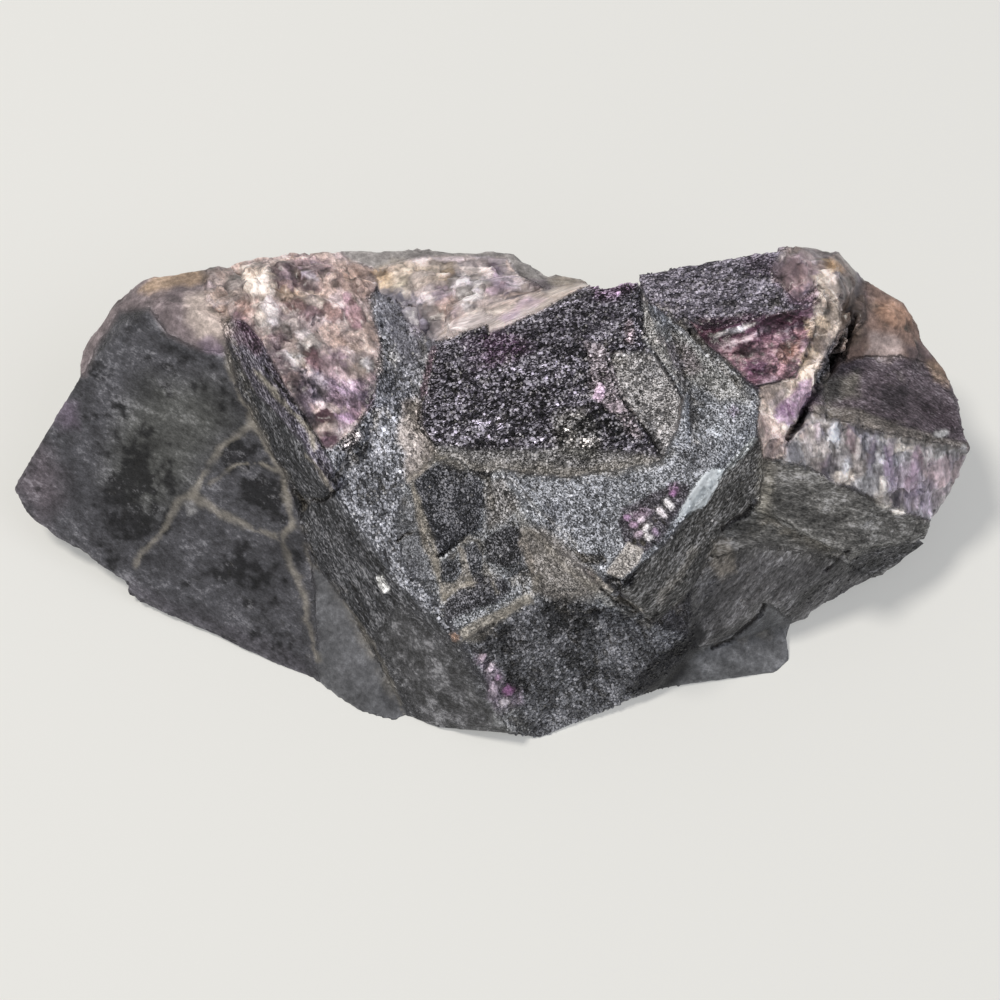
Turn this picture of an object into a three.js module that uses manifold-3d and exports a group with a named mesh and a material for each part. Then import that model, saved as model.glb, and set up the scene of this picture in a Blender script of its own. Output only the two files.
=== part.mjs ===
// Fluorite cluster: cubes grown through one another on a broken mass of pale fluorite.
// Units are millimetres, +Z is up, and the cluster rests on its flat base at z = 0.
//
// Everything is laid out in a growth frame: x runs along the cluster, y up its crystal side
// and z out of it. slopeAngle then leans that side back, so that it faces up and forward.
import * as THREE from "three";
import { mergeVertices } from "three/addons/utils/BufferGeometryUtils.js";
import { ConvexGeometry } from "three/addons/geometries/ConvexGeometry.js";
import Module from "manifold-3d";

const wasm = await Module();
wasm.setup();


// ---------------------------------------------------------------- driving dimensions
const slopeAngle = 28; // how far the crystal side leans back off the vertical
const baseLevel = -24; // height of the flat base, measured from the growth frame's origin

const rad = THREE.MathUtils.degToRad;

// ---------------------------------------------------------------- tools
// Turns a three.js geometry into a manifold-3d solid.
function solidOf(geometry) {
  geometry.deleteAttribute("normal");
  geometry.deleteAttribute("uv");
  const merged = mergeVertices(geometry, 1e-4);
  return new wasm.Manifold(
    new wasm.Mesh({
      numProp: 3,
      vertProperties: new Float32Array(merged.attributes.position.array),
      triVerts: new Uint32Array(merged.index.array),
    }),
  );
}

// Turns a manifold-3d solid back into a three.js geometry.
function geometryOf(solid) {
  const raw = solid.getMesh();
  const geometry = new THREE.BufferGeometry();
  geometry.setAttribute("position", new THREE.BufferAttribute(raw.vertProperties, 3));
  geometry.setIndex(new THREE.BufferAttribute(raw.triVerts, 1));
  return geometry;
}

// Seeded random numbers from 0 to 1, the same in every build.
function randomFrom(seed) {
  let state = seed * 7919 + 17;
  return () => {
    state = (state * 1664525 + 1013904223) % 4294967296;
    return state / 4294967296;
  };
}

// The turn that points a shape's own z along facing.
function turnTo(facing) {
  const outward = new THREE.Vector3(...facing).normalize();
  return new THREE.Quaternion().setFromUnitVectors(new THREE.Vector3(0, 0, 1), outward);
}

// A reader of the height (growth z) of a solid's front surface above any x and y.
function heightsOf(solid) {
  const front = new THREE.Mesh(geometryOf(solid), new THREE.MeshBasicMaterial());
  const ray = new THREE.Raycaster();
  return (x, y) => {
    ray.set(new THREE.Vector3(x, y, 200), new THREE.Vector3(0, 0, -1));
    return ray.intersectObject(front)[0].point.z;
  };
}

// ---------------------------------------------------------------- shapes
// A block of rock or crystal: the corners of its front face, carried back into the rock.
function block({ corners, back, taper = 0.94 }) {
  const front = corners.map((corner) => new THREE.Vector3(...corner));
  const middle = new THREE.Vector3();
  for (const point of front) middle.addScaledVector(point, 1 / front.length);
  const shift = new THREE.Vector3(...back);
  const rear = front.map((point) => point.clone().lerp(middle, 1 - taper).add(shift));
  return solidOf(new ConvexGeometry([...front, ...rear]));
}

// The rock beyond a fracture: a slab whose near face is a rough grid of cells.
function beyond({ at, facing, size = 110, cell = 7, relief = 1.6, seed }) {
  const random = randomFrom(seed);
  const cells = Math.round(size / cell);
  const slab = new THREE.BoxGeometry(size, size, 60, cells, cells, 1).translate(0, 0, 30);
  slab.deleteAttribute("normal");
  slab.deleteAttribute("uv");
  const rough = mergeVertices(slab, 1e-4);
  const place = rough.attributes.position;
  const wander = (amount) => (random() - 0.5) * 2 * amount;
  for (let i = 0; i < place.count; i++) {
    const [x, y, z] = [place.getX(i), place.getY(i), place.getZ(i)];
    if (z > 1 || Math.max(Math.abs(x), Math.abs(y)) > size / 2 - 0.1) continue;
    place.setXYZ(i, x + wander(cell * 0.3), y + wander(cell * 0.3), wander(relief));
  }
  return solidOf(rough.applyQuaternion(turnTo(facing)).translate(...at));
}

// Cleavage slabs standing on a broken patch that spans from corner to along and to across.
// They split along one crystal's planes, so they all face nearly the same way.
function cleavage(patch, heightAt) {
  const { corner, along, across, facing, count, size, ratio = [0.4, 0.8], seed } = patch;
  const random = randomFrom(seed);
  const between = (low, high) => low + (high - low) * random();
  const slabs = [];
  for (let i = 0; i < count; i++) {
    const [u, v] = [random(), random()];
    const x = corner[0] + (along[0] - corner[0]) * u + (across[0] - corner[0]) * v;
    const y = corner[1] + (along[1] - corner[1]) * u + (across[1] - corner[1]) * v;
    const width = between(...size);
    const slab = new THREE.BoxGeometry(width, width * between(...ratio), width * 0.6);
    slab.rotateZ(between(-0.25, 0.25)).rotateX(between(-0.15, 0.15)).rotateY(between(-0.15, 0.15));
    slab.applyQuaternion(turnTo(facing));
    slabs.push(solidOf(slab.translate(x, y, heightAt(x, y) - width * 0.2)));
  }
  return slabs;
}

// ---------------------------------------------------------------- crystals
const crystals = {
  left: {
    corners: [
      [-79.5, 2, -15.7], [-77.5, -2.5, -16.4], [-72, -6.5, -16.6], [-61, -13.5, -15.6],
      [-29, -28.5, -11.3], [-31.5, -3, -3.7], [-37.5, 9.5, -1.2], [-41.5, 26, 3.1],
      [-49, 30.5, 2.2], [-53, 31, 1.2], [-60, 27, -2.1], [-67, 20, -6.6],
    ],
    back: [3.9, 4.4, -12.7], taper: 1,
  },
  leftCorner: {
    corners: [
      [-61, -13, -15.6], [-61, -15.5, -16.4], [-58.5, -17, -16.2], [-44, -22.5, -13.9],
      [-34, -27.5, -12.3], [-30, -29, -11.7], [-32, -22.5, -9.6],
    ],
    back: [3.9, 4.4, -12.7], taper: 1,
  },
  front: {
    corners: [
      [18, -13, 19], [39, 14, 14], [22, 33.5, 4], [0.5, 5, 9],
    ],
    back: [4.9, -5.3, -17], taper: 1,
  },
  frontSide: {
    corners: [
      [28.5, 0, 15.8], [39, 14, 13.4], [41, 9, 8], [40, -0.5, 6], [34, -5, 7.5], [29, -6, 11],
    ],
    back: [0, 0, -14],
  },
  frontFoot: {
    corners: [
      [18, -13.5, 18.4], [30, 2, 15.4], [34, -5, 7.5], [31.5, -10, 6.5], [29.5, -14, 5.5],
      [26, -17.5, 5], [23.5, -19.5, 4],
    ],
    back: [0, 0, -14],
  },
  centre: {
    corners: [
      [-10, 23.5, 12.2], [20, 33, 22], [22, 24, 19], [28, 14.5, 17], [29, 4, 13], [-7, 1.5, 4],
      [-12.5, 11.5, 7],
    ],
    back: [2, 4, -14], taper: 1,
  },
  centrePlate: {
    corners: [
      [-9.5, 23.5, 13.2], [9, 29.5, 19.3], [15.5, 22, 18], [20, 9.5, 14.4], [20.5, 5, 13],
      [3, 4, 9.9], [-8.5, 4.5, 7.5], [-12, 11.5, 8.9],
    ],
    back: [0.4, 0.6, -3], taper: 1,
  },
  centreCorner: {
    corners: [
      [8, 29, 19.1], [19, 32, 22.6], [21, 22.5, 19.5], [15.5, 21.5, 17.9],
    ],
    back: [0.4, 0.6, -3], taper: 1,
  },
  centreStep: {
    corners: [
      [16, 18.5, 16.4], [20, 17, 16.7], [25, 6, 13.8], [21.5, 4.5, 12.4], [19, 9, 13.8],
    ],
    back: [0.4, 0.6, -3], taper: 1,
  },
  upperRight: {
    corners: [
      [21, 35, 8], [30.5, 36.5, 9], [43, 38.5, 10], [47, 36.5, 9.5], [48, 29, 6.6],
      [40, 27, 5.6], [30, 26.5, 5], [22, 26.5, 4],
    ],
    back: [0, -4, -14],
  },
  mosaic: {
    corners: [
      [-25.5, 4.5, 7], [-25, 0, 9], [-16, -11.5, 10], [-6, -21.5, 10.5], [7, -13.5, 10],
      [21.5, -10, 9], [18.5, 11, 4], [-12.5, 30, 1], [-19.5, 31.5, 0], [-23.5, 15.5, 4.5],
    ],
    back: [0, 0, -26],
  },
  apron: {
    corners: [
      [-1.5, 4, 8.4], [0, 5.5, 9.6], [6, -0.5, 11.9], [15, -9.5, 16.6], [18, -13, 17.6],
      [17.5, -16, 10.5], [12.5, -17, 7.5], [6, -14.5, 9.8], [1, -8.5, 9.6],
    ],
    back: [0, 0, -12],
  },
  lower: {
    corners: [
      [-15.5, -13, 8.5], [-6, -21.5, 10], [7, -13.5, 9.8], [21.5, -10.5, 8.4],
      [23.5, -15.5, 5.5], [32, -22.5, -6], [25.5, -30, -8], [16, -33, -8], [11, -35.5, -8],
      [6.5, -38, -6.9], [0, -37, -4], [-3.5, -31, 3],
    ],
    back: [0, 0, -20],
  },
  ledge: {
    corners: [
      [-40.5, 27, 6], [-26, 2, 13], [-24, 7.5, 9], [-20, 15.5, 5], [-20, 31.5, -3],
      [-27, 38, -8], [-38, 38, -7], [-42.5, 33, -2], [-43.5, 25, 0], [-37.5, 9.5, -2],
      [-29.5, -2, -3],
    ],
    back: [0, 0, -24],
  },
  keel: {
    corners: [
      [-27, 3.5, 8], [-25, 0, 9], [-16, -12, 9.5], [-6, -22, 9.5], [0, -35, 0], [3, -37, -3],
      [-9.5, -36.5, -7], [-15.5, -34.5, -9], [-24.5, -16, -6.5], [-30.5, -9, -6.5],
      [-31.5, -2.5, -4],
    ],
    back: [0, 0, -22],
  },
  shelf: {
    corners: [
      [38.5, 7.5, 5.5], [41.5, 7.5, 6], [46.5, 6, 5], [58, 2, 1.5], [69.5, -2.5, -8.5],
      [68.5, -6.5, -9], [54.5, -9, 2.5], [40.5, -1, 6.3], [38.5, -1, 5.5],
    ],
    back: [0, 0, -12],
  },
  columns: {
    corners: [
      [46.5, 12, 5], [59, 10.5, 4], [73.5, 11, -4], [75, 8, -7], [73, 2.5, -10], [70, -2.5, -9],
      [58, 1.5, 1.5], [46.5, 4.5, 4.5], [41.5, 7.5, 6.5],
    ],
    back: [0, 0, -16],
  },
  right: {
    corners: [
      [55.5, 24.5, -4], [68.5, 25, -10], [71.5, 21, -9], [73.5, 14.5, -6], [73.5, 11, -4],
      [59, 10.5, 4], [46.5, 12, 5], [52, 19, 0],
    ],
    back: [0, 0, -20],
  },
};

const rocks = {
  leftRim: {
    corners: [
      [-67.5, 20, -8.5], [-67.5, 24, -10], [-62.5, 30.5, -8.5], [-57, 35.5, -7.5],
      [-50.5, 36.5, -7.5], [-43, 37.5, -8], [-39, 31.5, 0.5], [-49, 30, 2], [-53, 30.5, 1],
      [-60, 27, -2.4],
    ],
    back: [1, -3, -16],
  },
  foot: {
    corners: [
      [-31, -9, -6], [-24.5, -16, -5.5], [-15, -34.5, -8.5], [-17, -35.5, -8.4],
      [-22.5, -34, -8.9], [-26.5, -31.5, -10.3], [-30, -29, -11.6], [-32, -19, -8.5],
    ],
    back: [0, 0, -14],
  },
  band: {
    corners: [
      [-10.5, 23, 12], [15.5, 31.5, 19.8], [13, 33, 14], [9, 34, 10], [0, 33.5, 4],
      [-9.5, 31, 3], [-11.5, 24, 8],
    ],
    back: [0, -4, -14],
  },
  chips: {
    corners: [
      [29.5, 26.5, 5], [34, 31, 6], [47, 38.5, -1], [53, 37.5, -3], [51.5, 31, 2],
      [46.5, 18.5, 6], [41.5, 9, 8], [37, 12.5, 9],
    ],
    back: [0, 0, -20],
  },
  rib: {
    corners: [
      [44.5, 40.5, -6], [54, 40, -8], [58, 36, -8], [53, 31, 4], [47, 17.5, 8], [44, 9, 8],
      [42, 6, 6.5], [39, 12.5, 6], [46.5, 26.5, 4],
    ],
    back: [0, -4, -20],
  },
  rightTop: {
    corners: [
      [56, 33.5, -6], [58, 36, -9], [65, 32, -10], [67.5, 28, -10], [68.5, 25, -11],
      [58, 22.5, -4], [55.5, 25.5, -4],
    ],
    back: [0, -4, -20],
  },
  under: {
    corners: [
      [41, 4.5, 6], [41, -0.5, 5], [55.5, -9, -3], [70, -7, -16], [65.5, -10, -17],
      [60, -12, -15], [53.5, -14.5, -12], [46.5, -20.5, -13], [30.5, -24, -6], [22, -19, -1],
      [23.5, -11.5, 4], [31, -4.5, 5],
    ],
    back: [0, 0, -14],
  },
  toe: {
    corners: [
      [30.5, -24.5, -7.5], [46.5, -20.5, -13], [47, -26, -13.2], [44.5, -28, -12.2],
      [32.5, -29, -11.5], [24, -30.5, -10], [26.5, -25.5, -8],
    ],
    back: [0, 0, -8],
  },
  backRim: {
    corners: [
      [-44, 38, -13], [-39, 40, -14], [-33.5, 40.5, -14], [-27.5, 39.5, -15], [-23, 39.5, -16],
      [-16.5, 40, -17], [-11.5, 41, -17], [2.5, 40.5, -17], [7, 36.5, -16], [9.5, 32, -10],
      [9.5, 27, -5], [-32, 27, -6],
    ],
    back: [0, -11, -20],
  },
  backBump: {
    corners: [
      [6.5, 35.5, -14], [9, 36.5, -14.5], [13, 36.5, -14.5], [14.5, 35, -13], [14.5, 30.5, -6],
      [6.5, 30.5, -6],
    ],
    back: [0, -8, -18],
  },
  massLeft: {
    corners: [
      [-72, 8, -18], [-63.5, 27.5, -14], [-42, 34, -12], [-11.5, 34, -10], [-11.5, -31, -14],
      [-32.5, -24.5, -16], [-59, -11.5, -18],
    ],
    back: [0, -8, -30],
  },
  massRight: {
    corners: [
      [-21, 34, -10], [22, 31.5, -2], [54, 33.5, -6], [69.5, 19.5, -12], [70.5, 3, -14],
      [55, -8, -12], [32.5, -24.5, -14], [-21, -30.5, -12],
    ],
    back: [0, -8, -34],
  },
};

// Growth plates on the mosaic face, as outlines in x and y.
const plateRise = 0.9;
const plates = [
  [[-14, 3], [-9.5, 6], [-3, 3.5], [-2.5, -3], [-5, -5], [-9.5, -8.5], [-12, -4.5]],
  [[-9, -9.5], [-5.5, -7.5], [-5, -11.5], [-8, -12.5]],
  [[-5.5, -7], [-3.5, -6.5], [-2.5, -9.5], [-4.5, -11]],
  [[-2, -5.5], [0.5, -4], [4.5, -7], [4, -10], [0, -12]],
  [[-16, -6.5], [-13.5, -5], [-11, -9.5], [-11.5, -12.5], [-15, -11]],
  [[-9, -16], [0, -12.5], [3.5, -15], [-5, -19], [-8, -18.5]],
];

// Broken patches, each spanning from its corner to along and to across in x and y.
const patches = [
  {
    corner: [-39, 25.5], along: [-24.5, 8.5], across: [-34, 36],
    facing: [0.35, 0.4, 0.85], count: 46, size: [4, 9], seed: 11,
  },
  {
    corner: [-31, 35], along: [-22.5, 16], across: [-23, 33],
    facing: [0.3, 0.5, 0.8], count: 22, size: [4, 9], seed: 12,
  },
  {
    corner: [-16, 35.5], along: [-11, 27], across: [0, 35],
    facing: [-0.1, 0.6, 0.8], count: 26, size: [4, 8], seed: 13,
  },
  {
    corner: [31.5, 26.5], along: [46.5, 27.5], across: [39.5, 18],
    facing: [-0.2, -0.45, 0.85], count: 34, size: [3, 7], seed: 14,
  },
  {
    corner: [46.5, 35.5], along: [53.5, 35], across: [45, 15.5],
    facing: [0.2, 0.3, 0.9], count: 14, size: [3, 7], seed: 15,
  },
  {
    corner: [56, 31], along: [62.5, 28], across: [57.5, 24],
    facing: [0.3, 0.3, 0.9], count: 10, size: [5, 9], seed: 16,
  },
  {
    corner: [48, 11], along: [67.5, 8.5], across: [47, 6],
    facing: [-0.25, -0.3, 0.93], count: 26, size: [1.5, 3], ratio: [2, 3.5], seed: 17,
  },
];

// Fractures that end the crystals and the rock: a point on each, and the way it faces.
const crystalBreak = {
  at: [19.5, 33, 23],
  facing: [-0.28, 0.92, -0.3],
  size: 44,
  relief: 0.5,
  cell: 4,
  seed: 2,
};
const breaks = [
  { at: [-11.5, 43.5, -20], facing: [0.05, 0.93, -0.37], seed: 5 },
  { at: [-64, 34.5, -17], facing: [-0.62, 0.68, -0.38], seed: 6 },
  { at: [60.5, 39, -18], facing: [0.5, 0.77, -0.4], seed: 7 },
  { at: [77, 9.5, -14], facing: [0.9, -0.05, -0.43], seed: 8 },
  { at: [64, -17, -20], facing: [0.5, -0.75, -0.43], seed: 9 },
  { at: [-55, -24, -20], facing: [-0.4, -0.8, -0.43], seed: 10 },
];

// ---------------------------------------------------------------- the cluster
crystals.centre = block(crystals.centre).subtract(beyond(crystalBreak));
let cluster = crystals.centre;
delete crystals.centre;
for (const shape of [...Object.values(crystals), ...Object.values(rocks)]) {
  cluster = cluster.add(block(shape));
}

const heightAt = heightsOf(cluster);
for (const outline of plates) {
  const corners = outline.map(([x, y]) => [x, y, heightAt(x, y) + plateRise]);
  cluster = cluster.add(block({ corners, back: [0, 0, -4], taper: 1.1 }));
}
for (const patch of patches) {
  for (const slab of cleavage(patch, heightAt)) cluster = cluster.add(slab);
}
for (const shape of breaks) cluster = cluster.subtract(beyond(shape));

const below = new THREE.BoxGeometry(400, 400, 100).translate(0, 0, baseLevel - 50);
cluster = cluster.subtract(solidOf(below.rotateX(rad(-slopeAngle))));

// The outer skin is the largest part; the rest are closed voids and loose crumbs.
const skins = cluster.decompose().sort((a, b) => b.volume() - a.volume());
const geometry = geometryOf(skins[0]).rotateX(rad(slopeAngle));
geometry.computeBoundingBox();
const { min, max } = geometry.boundingBox;
geometry.translate(-(min.x + max.x) / 2, -(min.y + max.y) / 2, -min.z);

const stone = new THREE.MeshStandardMaterial({ color: "#4a4650", roughness: 0.5 });
const mesh = new THREE.Mesh(geometry, stone);
mesh.name = "fluorite_cluster";
const group = new THREE.Group();
group.add(mesh);
export default group;
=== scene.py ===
import itertools
import math

import bmesh
import bpy
import numpy as np
from mathutils import Matrix, Vector


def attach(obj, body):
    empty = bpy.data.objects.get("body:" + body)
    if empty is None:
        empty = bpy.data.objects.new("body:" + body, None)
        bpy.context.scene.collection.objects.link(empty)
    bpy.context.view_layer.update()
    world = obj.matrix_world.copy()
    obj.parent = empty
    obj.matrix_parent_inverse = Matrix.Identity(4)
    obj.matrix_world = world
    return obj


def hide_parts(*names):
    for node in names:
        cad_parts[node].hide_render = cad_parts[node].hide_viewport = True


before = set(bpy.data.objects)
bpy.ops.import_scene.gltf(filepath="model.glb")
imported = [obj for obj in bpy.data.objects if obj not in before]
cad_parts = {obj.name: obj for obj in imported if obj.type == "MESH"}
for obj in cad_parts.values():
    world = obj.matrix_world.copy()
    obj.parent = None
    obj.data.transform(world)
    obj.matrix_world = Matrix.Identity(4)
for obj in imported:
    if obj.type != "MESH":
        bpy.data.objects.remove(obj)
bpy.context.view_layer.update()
scene = bpy.context.scene
mm = 0.001

# The growth frame: x along the cluster, y up its crystal side, z straight out of it, in millimetres
growth = {"origin": (2.25, -8.07, 24.0), "lean": 28, "eye": 400.0}
leanTurn = Matrix.Rotation(math.radians(growth["lean"]), 3, "X")
leanArray = np.array(leanTurn)


def rowFromGrowth(point):  # one point, in metres
    return (leanTurn @ Vector(point) + Vector(growth["origin"])) * mm


def rowPoints(points):  # an array of points, in millimetres
    return points @ leanArray.T + np.array(growth["origin"])


# Fluorite's own colours here, from its pale broken lumps to the nearly black crystal faces; ink also serves
# for painted shade, and the darkest grey for painted shadow under an overhang
palette = {
    "white": "#efe9e2",
    "brown": "#8f786e",
    "mauve": "#8d7a84",
    "violet": "#8c7a92",
    "plum": "#4f4053",
    "ink": "#19191d",
    "slate": "#4c4d53",
    "steel": "#80838b",
    "ash": "#9c968e",
    "silver": "#bdbcbe",
    "olive": "#77756b",
    "shadowDark": "#333336",
}


def linearColour(hexText):  # a hex value or a name from the palette
    hexText = palette.get(hexText, hexText)
    parts = [int(hexText[i : i + 2], 16) / 255 for i in (1, 3, 5)]
    return tuple(p / 12.92 if p <= 0.04045 else ((p + 0.055) / 1.055) ** 2.4 for p in parts) + (1.0,)


# Noise on whole arrays of points, in millimetres. Each octave is half the size of the one before and fades.
noiseLook = {"fade": 0.55, "seedStep": 17, "gain": 1.5}


def hashed(cells, seed):  # one number from 0 to 1 for each cell, its bits mixed by large odd numbers
    h = cells[:, 0] * 374761393 + cells[:, 1] * 668265263 + cells[:, 2] * 1440662683 + seed * 974634777
    h = h & 0xFFFFFFFF
    h = ((h ^ (h >> 13)) * 1274126177) & 0xFFFFFFFF
    h = ((h ^ (h >> 16)) * 2246822519) & 0xFFFFFFFF
    return ((h ^ (h >> 15)) & 0xFFFFFF) / 0xFFFFFF


def corners(low):  # the eight cells round each point
    for side in itertools.product((0, 1), repeat=3):
        yield low + np.array(side), side


def softNoise(points, size, seed):  # smooth, from -1 to 1, its bumps that size
    p = points / size
    low = np.floor(p).astype(np.int64)
    f = p - low
    f = f * f * (3 - 2 * f)
    total = np.zeros(len(p))
    for cell, side in corners(low):
        share = np.ones(len(p))
        for axis in range(3):
            share *= f[:, axis] if side[axis] else 1 - f[:, axis]
        total += share * hashed(cell, seed)
    return total * 2 - 1


def roughNoise(points, size, seed, octaves=4):
    total, weight, allWeight = np.zeros(len(points)), 1.0, 0.0
    for octave in range(octaves):
        total += weight * softNoise(points, size / 2**octave, seed + octave * noiseLook["seedStep"])
        allWeight += weight
        weight *= noiseLook["fade"]
    return total / allWeight * noiseLook["gain"]


def brokenCells(points, size, seed, square):  # the nearest cell's offset, its numbers and its edge's distance
    p = points / size
    low = np.floor(p - 0.5).astype(np.int64)
    near, second = np.full((2, len(p)), 1e9)
    offset, own = np.zeros((2, len(p), 3))
    for cell, side in corners(low):
        marks = np.stack([hashed(cell, seed + k) for k in range(3)], 1)
        d = p - (cell + 0.2 + 0.6 * marks)  # a cell's middle wanders over 0.6 of it
        distance = np.abs(d).max(1) if square else np.sqrt((d * d).sum(1))
        closer = distance < near
        second = np.where(closer, near, np.minimum(second, distance))
        near = np.where(closer, distance, near)
        offset = np.where(closer[:, None], d, offset)
        own = np.where(closer[:, None], marks, own)
    return offset * size, own, (second - near) * size


def smoothStep(value, low, high):
    t = np.clip((value - low) / (high - low), 0, 1)
    return t * t * (3 - 2 * t)


def edgeDistance(x, y, points, closed):  # to a line, or to a closed outline's edge and above 0 inside it
    path = np.array(points, float)
    ends = np.roll(path, -1, 0) if closed else path[1:]
    starts = path if closed else path[:-1]
    distance, inside = np.full(len(x), 1e9), np.zeros(len(x), bool)
    for (x0, y0), (x1, y1) in zip(starts, ends):
        ex, ey = x1 - x0, y1 - y0
        t = np.clip(((x - x0) * ex + (y - y0) * ey) / (ex * ex + ey * ey + 1e-9), 0, 1)
        distance = np.minimum(distance, np.hypot(x - x0 - t * ex, y - y0 - t * ey))
        if closed:
            inside ^= ((y0 > y) != (y1 > y)) & (x < (x1 - x0) * (y - y0) / (y1 - y0 + 1e-12) + x0)
    return np.where(inside, distance, -distance) if closed else distance


def addObject(name, data):
    piece = bpy.data.objects.new(name, data)
    scene.collection.objects.link(piece)
    return piece


# The camera first
lens = {"width": 157.0, "sensor": 36.0, "nearest": 0.01}
camera = addObject("camera", bpy.data.cameras.new("camera"))
scene.camera = camera
camera.data.sensor_width = lens["sensor"]
camera.data.lens = lens["sensor"] * growth["eye"] / lens["width"]
camera.data.clip_start = lens["nearest"]
camera.location = rowFromGrowth((0, 0, growth["eye"]))
camera.rotation_euler = (math.radians(growth["lean"]), 0, 0)

# Studio: a pale floor, a broad key from high on the left and a weak fill all round
studio = {
    "floor": "#c3c3c0",
    "floorRough": 0.9,
    "floorGlow": ("#d0d0cd", 0.47),
    "floorHalf": 3,
    "world": "#f4f5f8",
    "worldStrength": 0.3,
    "key": {"from": (-440, 560, 1000), "size": 0.26, "power": 9.0, "colour": "#fffaf2"},
    "fill": {"from": (700, 100, 1000), "size": 0.9, "power": 2.5, "colour": "#eef2ff"},
}
scene.view_settings.view_transform = "Standard"
world = bpy.data.worlds.new("studio")
scene.world = world
world.use_nodes = True
world.node_tree.nodes["Background"].inputs["Color"].default_value = linearColour(studio["world"])
world.node_tree.nodes["Background"].inputs["Strength"].default_value = studio["worldStrength"]
for name in ("key", "fill"):
    lamp = studio[name]
    light = addObject(name, bpy.data.lights.new(name, "AREA"))
    light.data.shape = "DISK"
    light.data.size = lamp["size"]
    light.data.energy = lamp["power"]
    light.data.color = linearColour(lamp["colour"])[:3]
    light.location = rowFromGrowth(lamp["from"])
    light.rotation_euler = (rowFromGrowth((0, 0, 0)) - light.location).to_track_quat("-Z", "Y").to_euler()


def addNode(tree, kind, links=None, **settings):  # links: input name or number -> socket or value
    node = tree.nodes.new(kind)
    for key, value in settings.items():
        setattr(node, key, value)
    for key, value in (links or {}).items():
        socket = node.inputs[key]
        if isinstance(value, bpy.types.NodeSocket):
            tree.links.new(value, socket)
        else:
            socket.default_value = value
    return node


def mathNode(tree, operation, *values):
    return addNode(tree, "ShaderNodeMath", dict(enumerate(values)), operation=operation).outputs[0]


def newMaterial(name):
    material = bpy.data.materials.new(name)
    material.use_nodes = True
    material.node_tree.nodes.clear()
    return material, material.node_tree


def addShell(tree, looks):  # the shader that the light falls on, with these inputs
    shell = addNode(tree, "ShaderNodeBsdfPrincipled", looks)
    addNode(tree, "ShaderNodeOutputMaterial", {"Surface": shell.outputs[0]})


floorMaterial, tree = newMaterial("paintedBoard")
glowColour, glowStrength = studio["floorGlow"]
addShell(
    tree,
    {
        "Base Color": linearColour(studio["floor"]),
        "Roughness": studio["floorRough"],
        "Emission Color": linearColour(glowColour),
        "Emission Strength": glowStrength,
    },
)
half = studio["floorHalf"]
floorMesh = bpy.data.meshes.new("floor")
floorCorners = [(-half, -half, 0), (half, -half, 0), (half, half, 0), (-half, half, 0)]
floorMesh.from_pydata(floorCorners, [], [(0, 1, 2, 3)])
floorMesh.materials.append(floorMaterial)
floor = addObject("floor", floorMesh)
print("camera, light and floor made")

# The skin: the CAD solid's copy, remeshed fine enough to carry its grain, then thinned, most of all behind
skin = {
    "voxel": 0.36,  # mm
    "weld": 1e-7,  # m
    "faces": 188000,
    "thinLevels": 4,
    "thinStep": (-0.1, 0.25),
    "frontShare": 0.75,  # how much less it is thinned in front
    # Rounds of smoothing: for the calm normals, and for how far a pit or an edge reaches
    "calm": 6,
    "calmer": 30,
    "pitRounds": 12,
    "thinCalm": 4,
    "thinCalmer": 14,
    "finePitRounds": 2,
    "widePitRounds": 16,
}


def evaluatedMesh(piece):
    graph = bpy.context.evaluated_depsgraph_get()
    return bpy.data.meshes.new_from_object(piece.evaluated_get(graph), depsgraph=graph)


def remeshedNode(name, voxel):
    mesh = bpy.data.objects[name].data.copy()
    whole = bmesh.new()
    whole.from_mesh(mesh)
    bmesh.ops.remove_doubles(whole, verts=whole.verts, dist=skin["weld"])
    whole.to_mesh(mesh)
    whole.free()
    piece = addObject("remeshing", mesh)
    remesh = piece.modifiers.new("remesh", "REMESH")
    remesh.mode = "VOXEL"
    remesh.voxel_size = voxel * mm
    result = evaluatedMesh(piece)
    bpy.data.objects.remove(piece)
    return result


def readPoints(mesh):  # growth-frame points and normals
    points = np.empty(len(mesh.vertices) * 3)
    mesh.vertices.foreach_get("co", points)
    normals = np.empty(len(mesh.vertices) * 3, np.float32)
    mesh.vertex_normals.foreach_get("vector", normals)
    points = points.reshape(-1, 3) / mm - np.array(growth["origin"])
    return points @ leanArray, normals.reshape(-1, 3).astype(float) @ leanArray


def writePoints(mesh, points):
    mesh.vertices.foreach_set("co", (rowPoints(points) * mm).astype(np.float32).ravel())
    mesh.update()


def neighbourMean(mesh, values, rounds):  # each round draws them three quarters of the way to neighbours'
    ends = np.empty(len(mesh.edges) * 2, np.int64)
    mesh.edges.foreach_get("vertices", ends)
    a, b = ends.reshape(-1, 2).T
    count = np.bincount(a, minlength=len(values)) + np.bincount(b, minlength=len(values))
    flat = values.reshape(len(values), -1)
    for _ in range(rounds):
        sums = [np.bincount(a, c[b], len(c)) + np.bincount(b, c[a], len(c)) for c in flat.T]
        flat = (flat + np.stack(sums, 1) / np.maximum(count, 1)[:, None] * 3) / 4
    return flat.reshape(values.shape)


def calmNormals(mesh, normals, rounds):
    calm = neighbourMean(mesh, normals, rounds)
    return calm / np.maximum(np.linalg.norm(calm, axis=1), 1e-6)[:, None]


# Directions that the grain of each crystal follows, seen from the front
grainRuns = {
    "left": (48, -29.5),
    "centre": (31.4, 10.7),
    "front": (18.4, -18.8),
    "frontEdge": (0.62, 0.78),
    "upperRight": (0.98, 0.18),
    "mosaic": (0.42, -0.9),
    "lower": (0.45, -0.89),
    "band": (0.48, -0.84),
    "right": (0.93, -0.33),
    "rightFoot": (0.35, 0.94),
    "columns": (0.4, -0.92),
    "wild": (0.9, 0.44),
}


# The rows of the tables below. An outline or path is x and y in turn, seen from the front, in tenths of a
# millimetre. A size, rise or softness is in millimetres.
def outlineOf(tenths):
    return (np.array(tenths, float) / 10).reshape(-1, 2)


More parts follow.
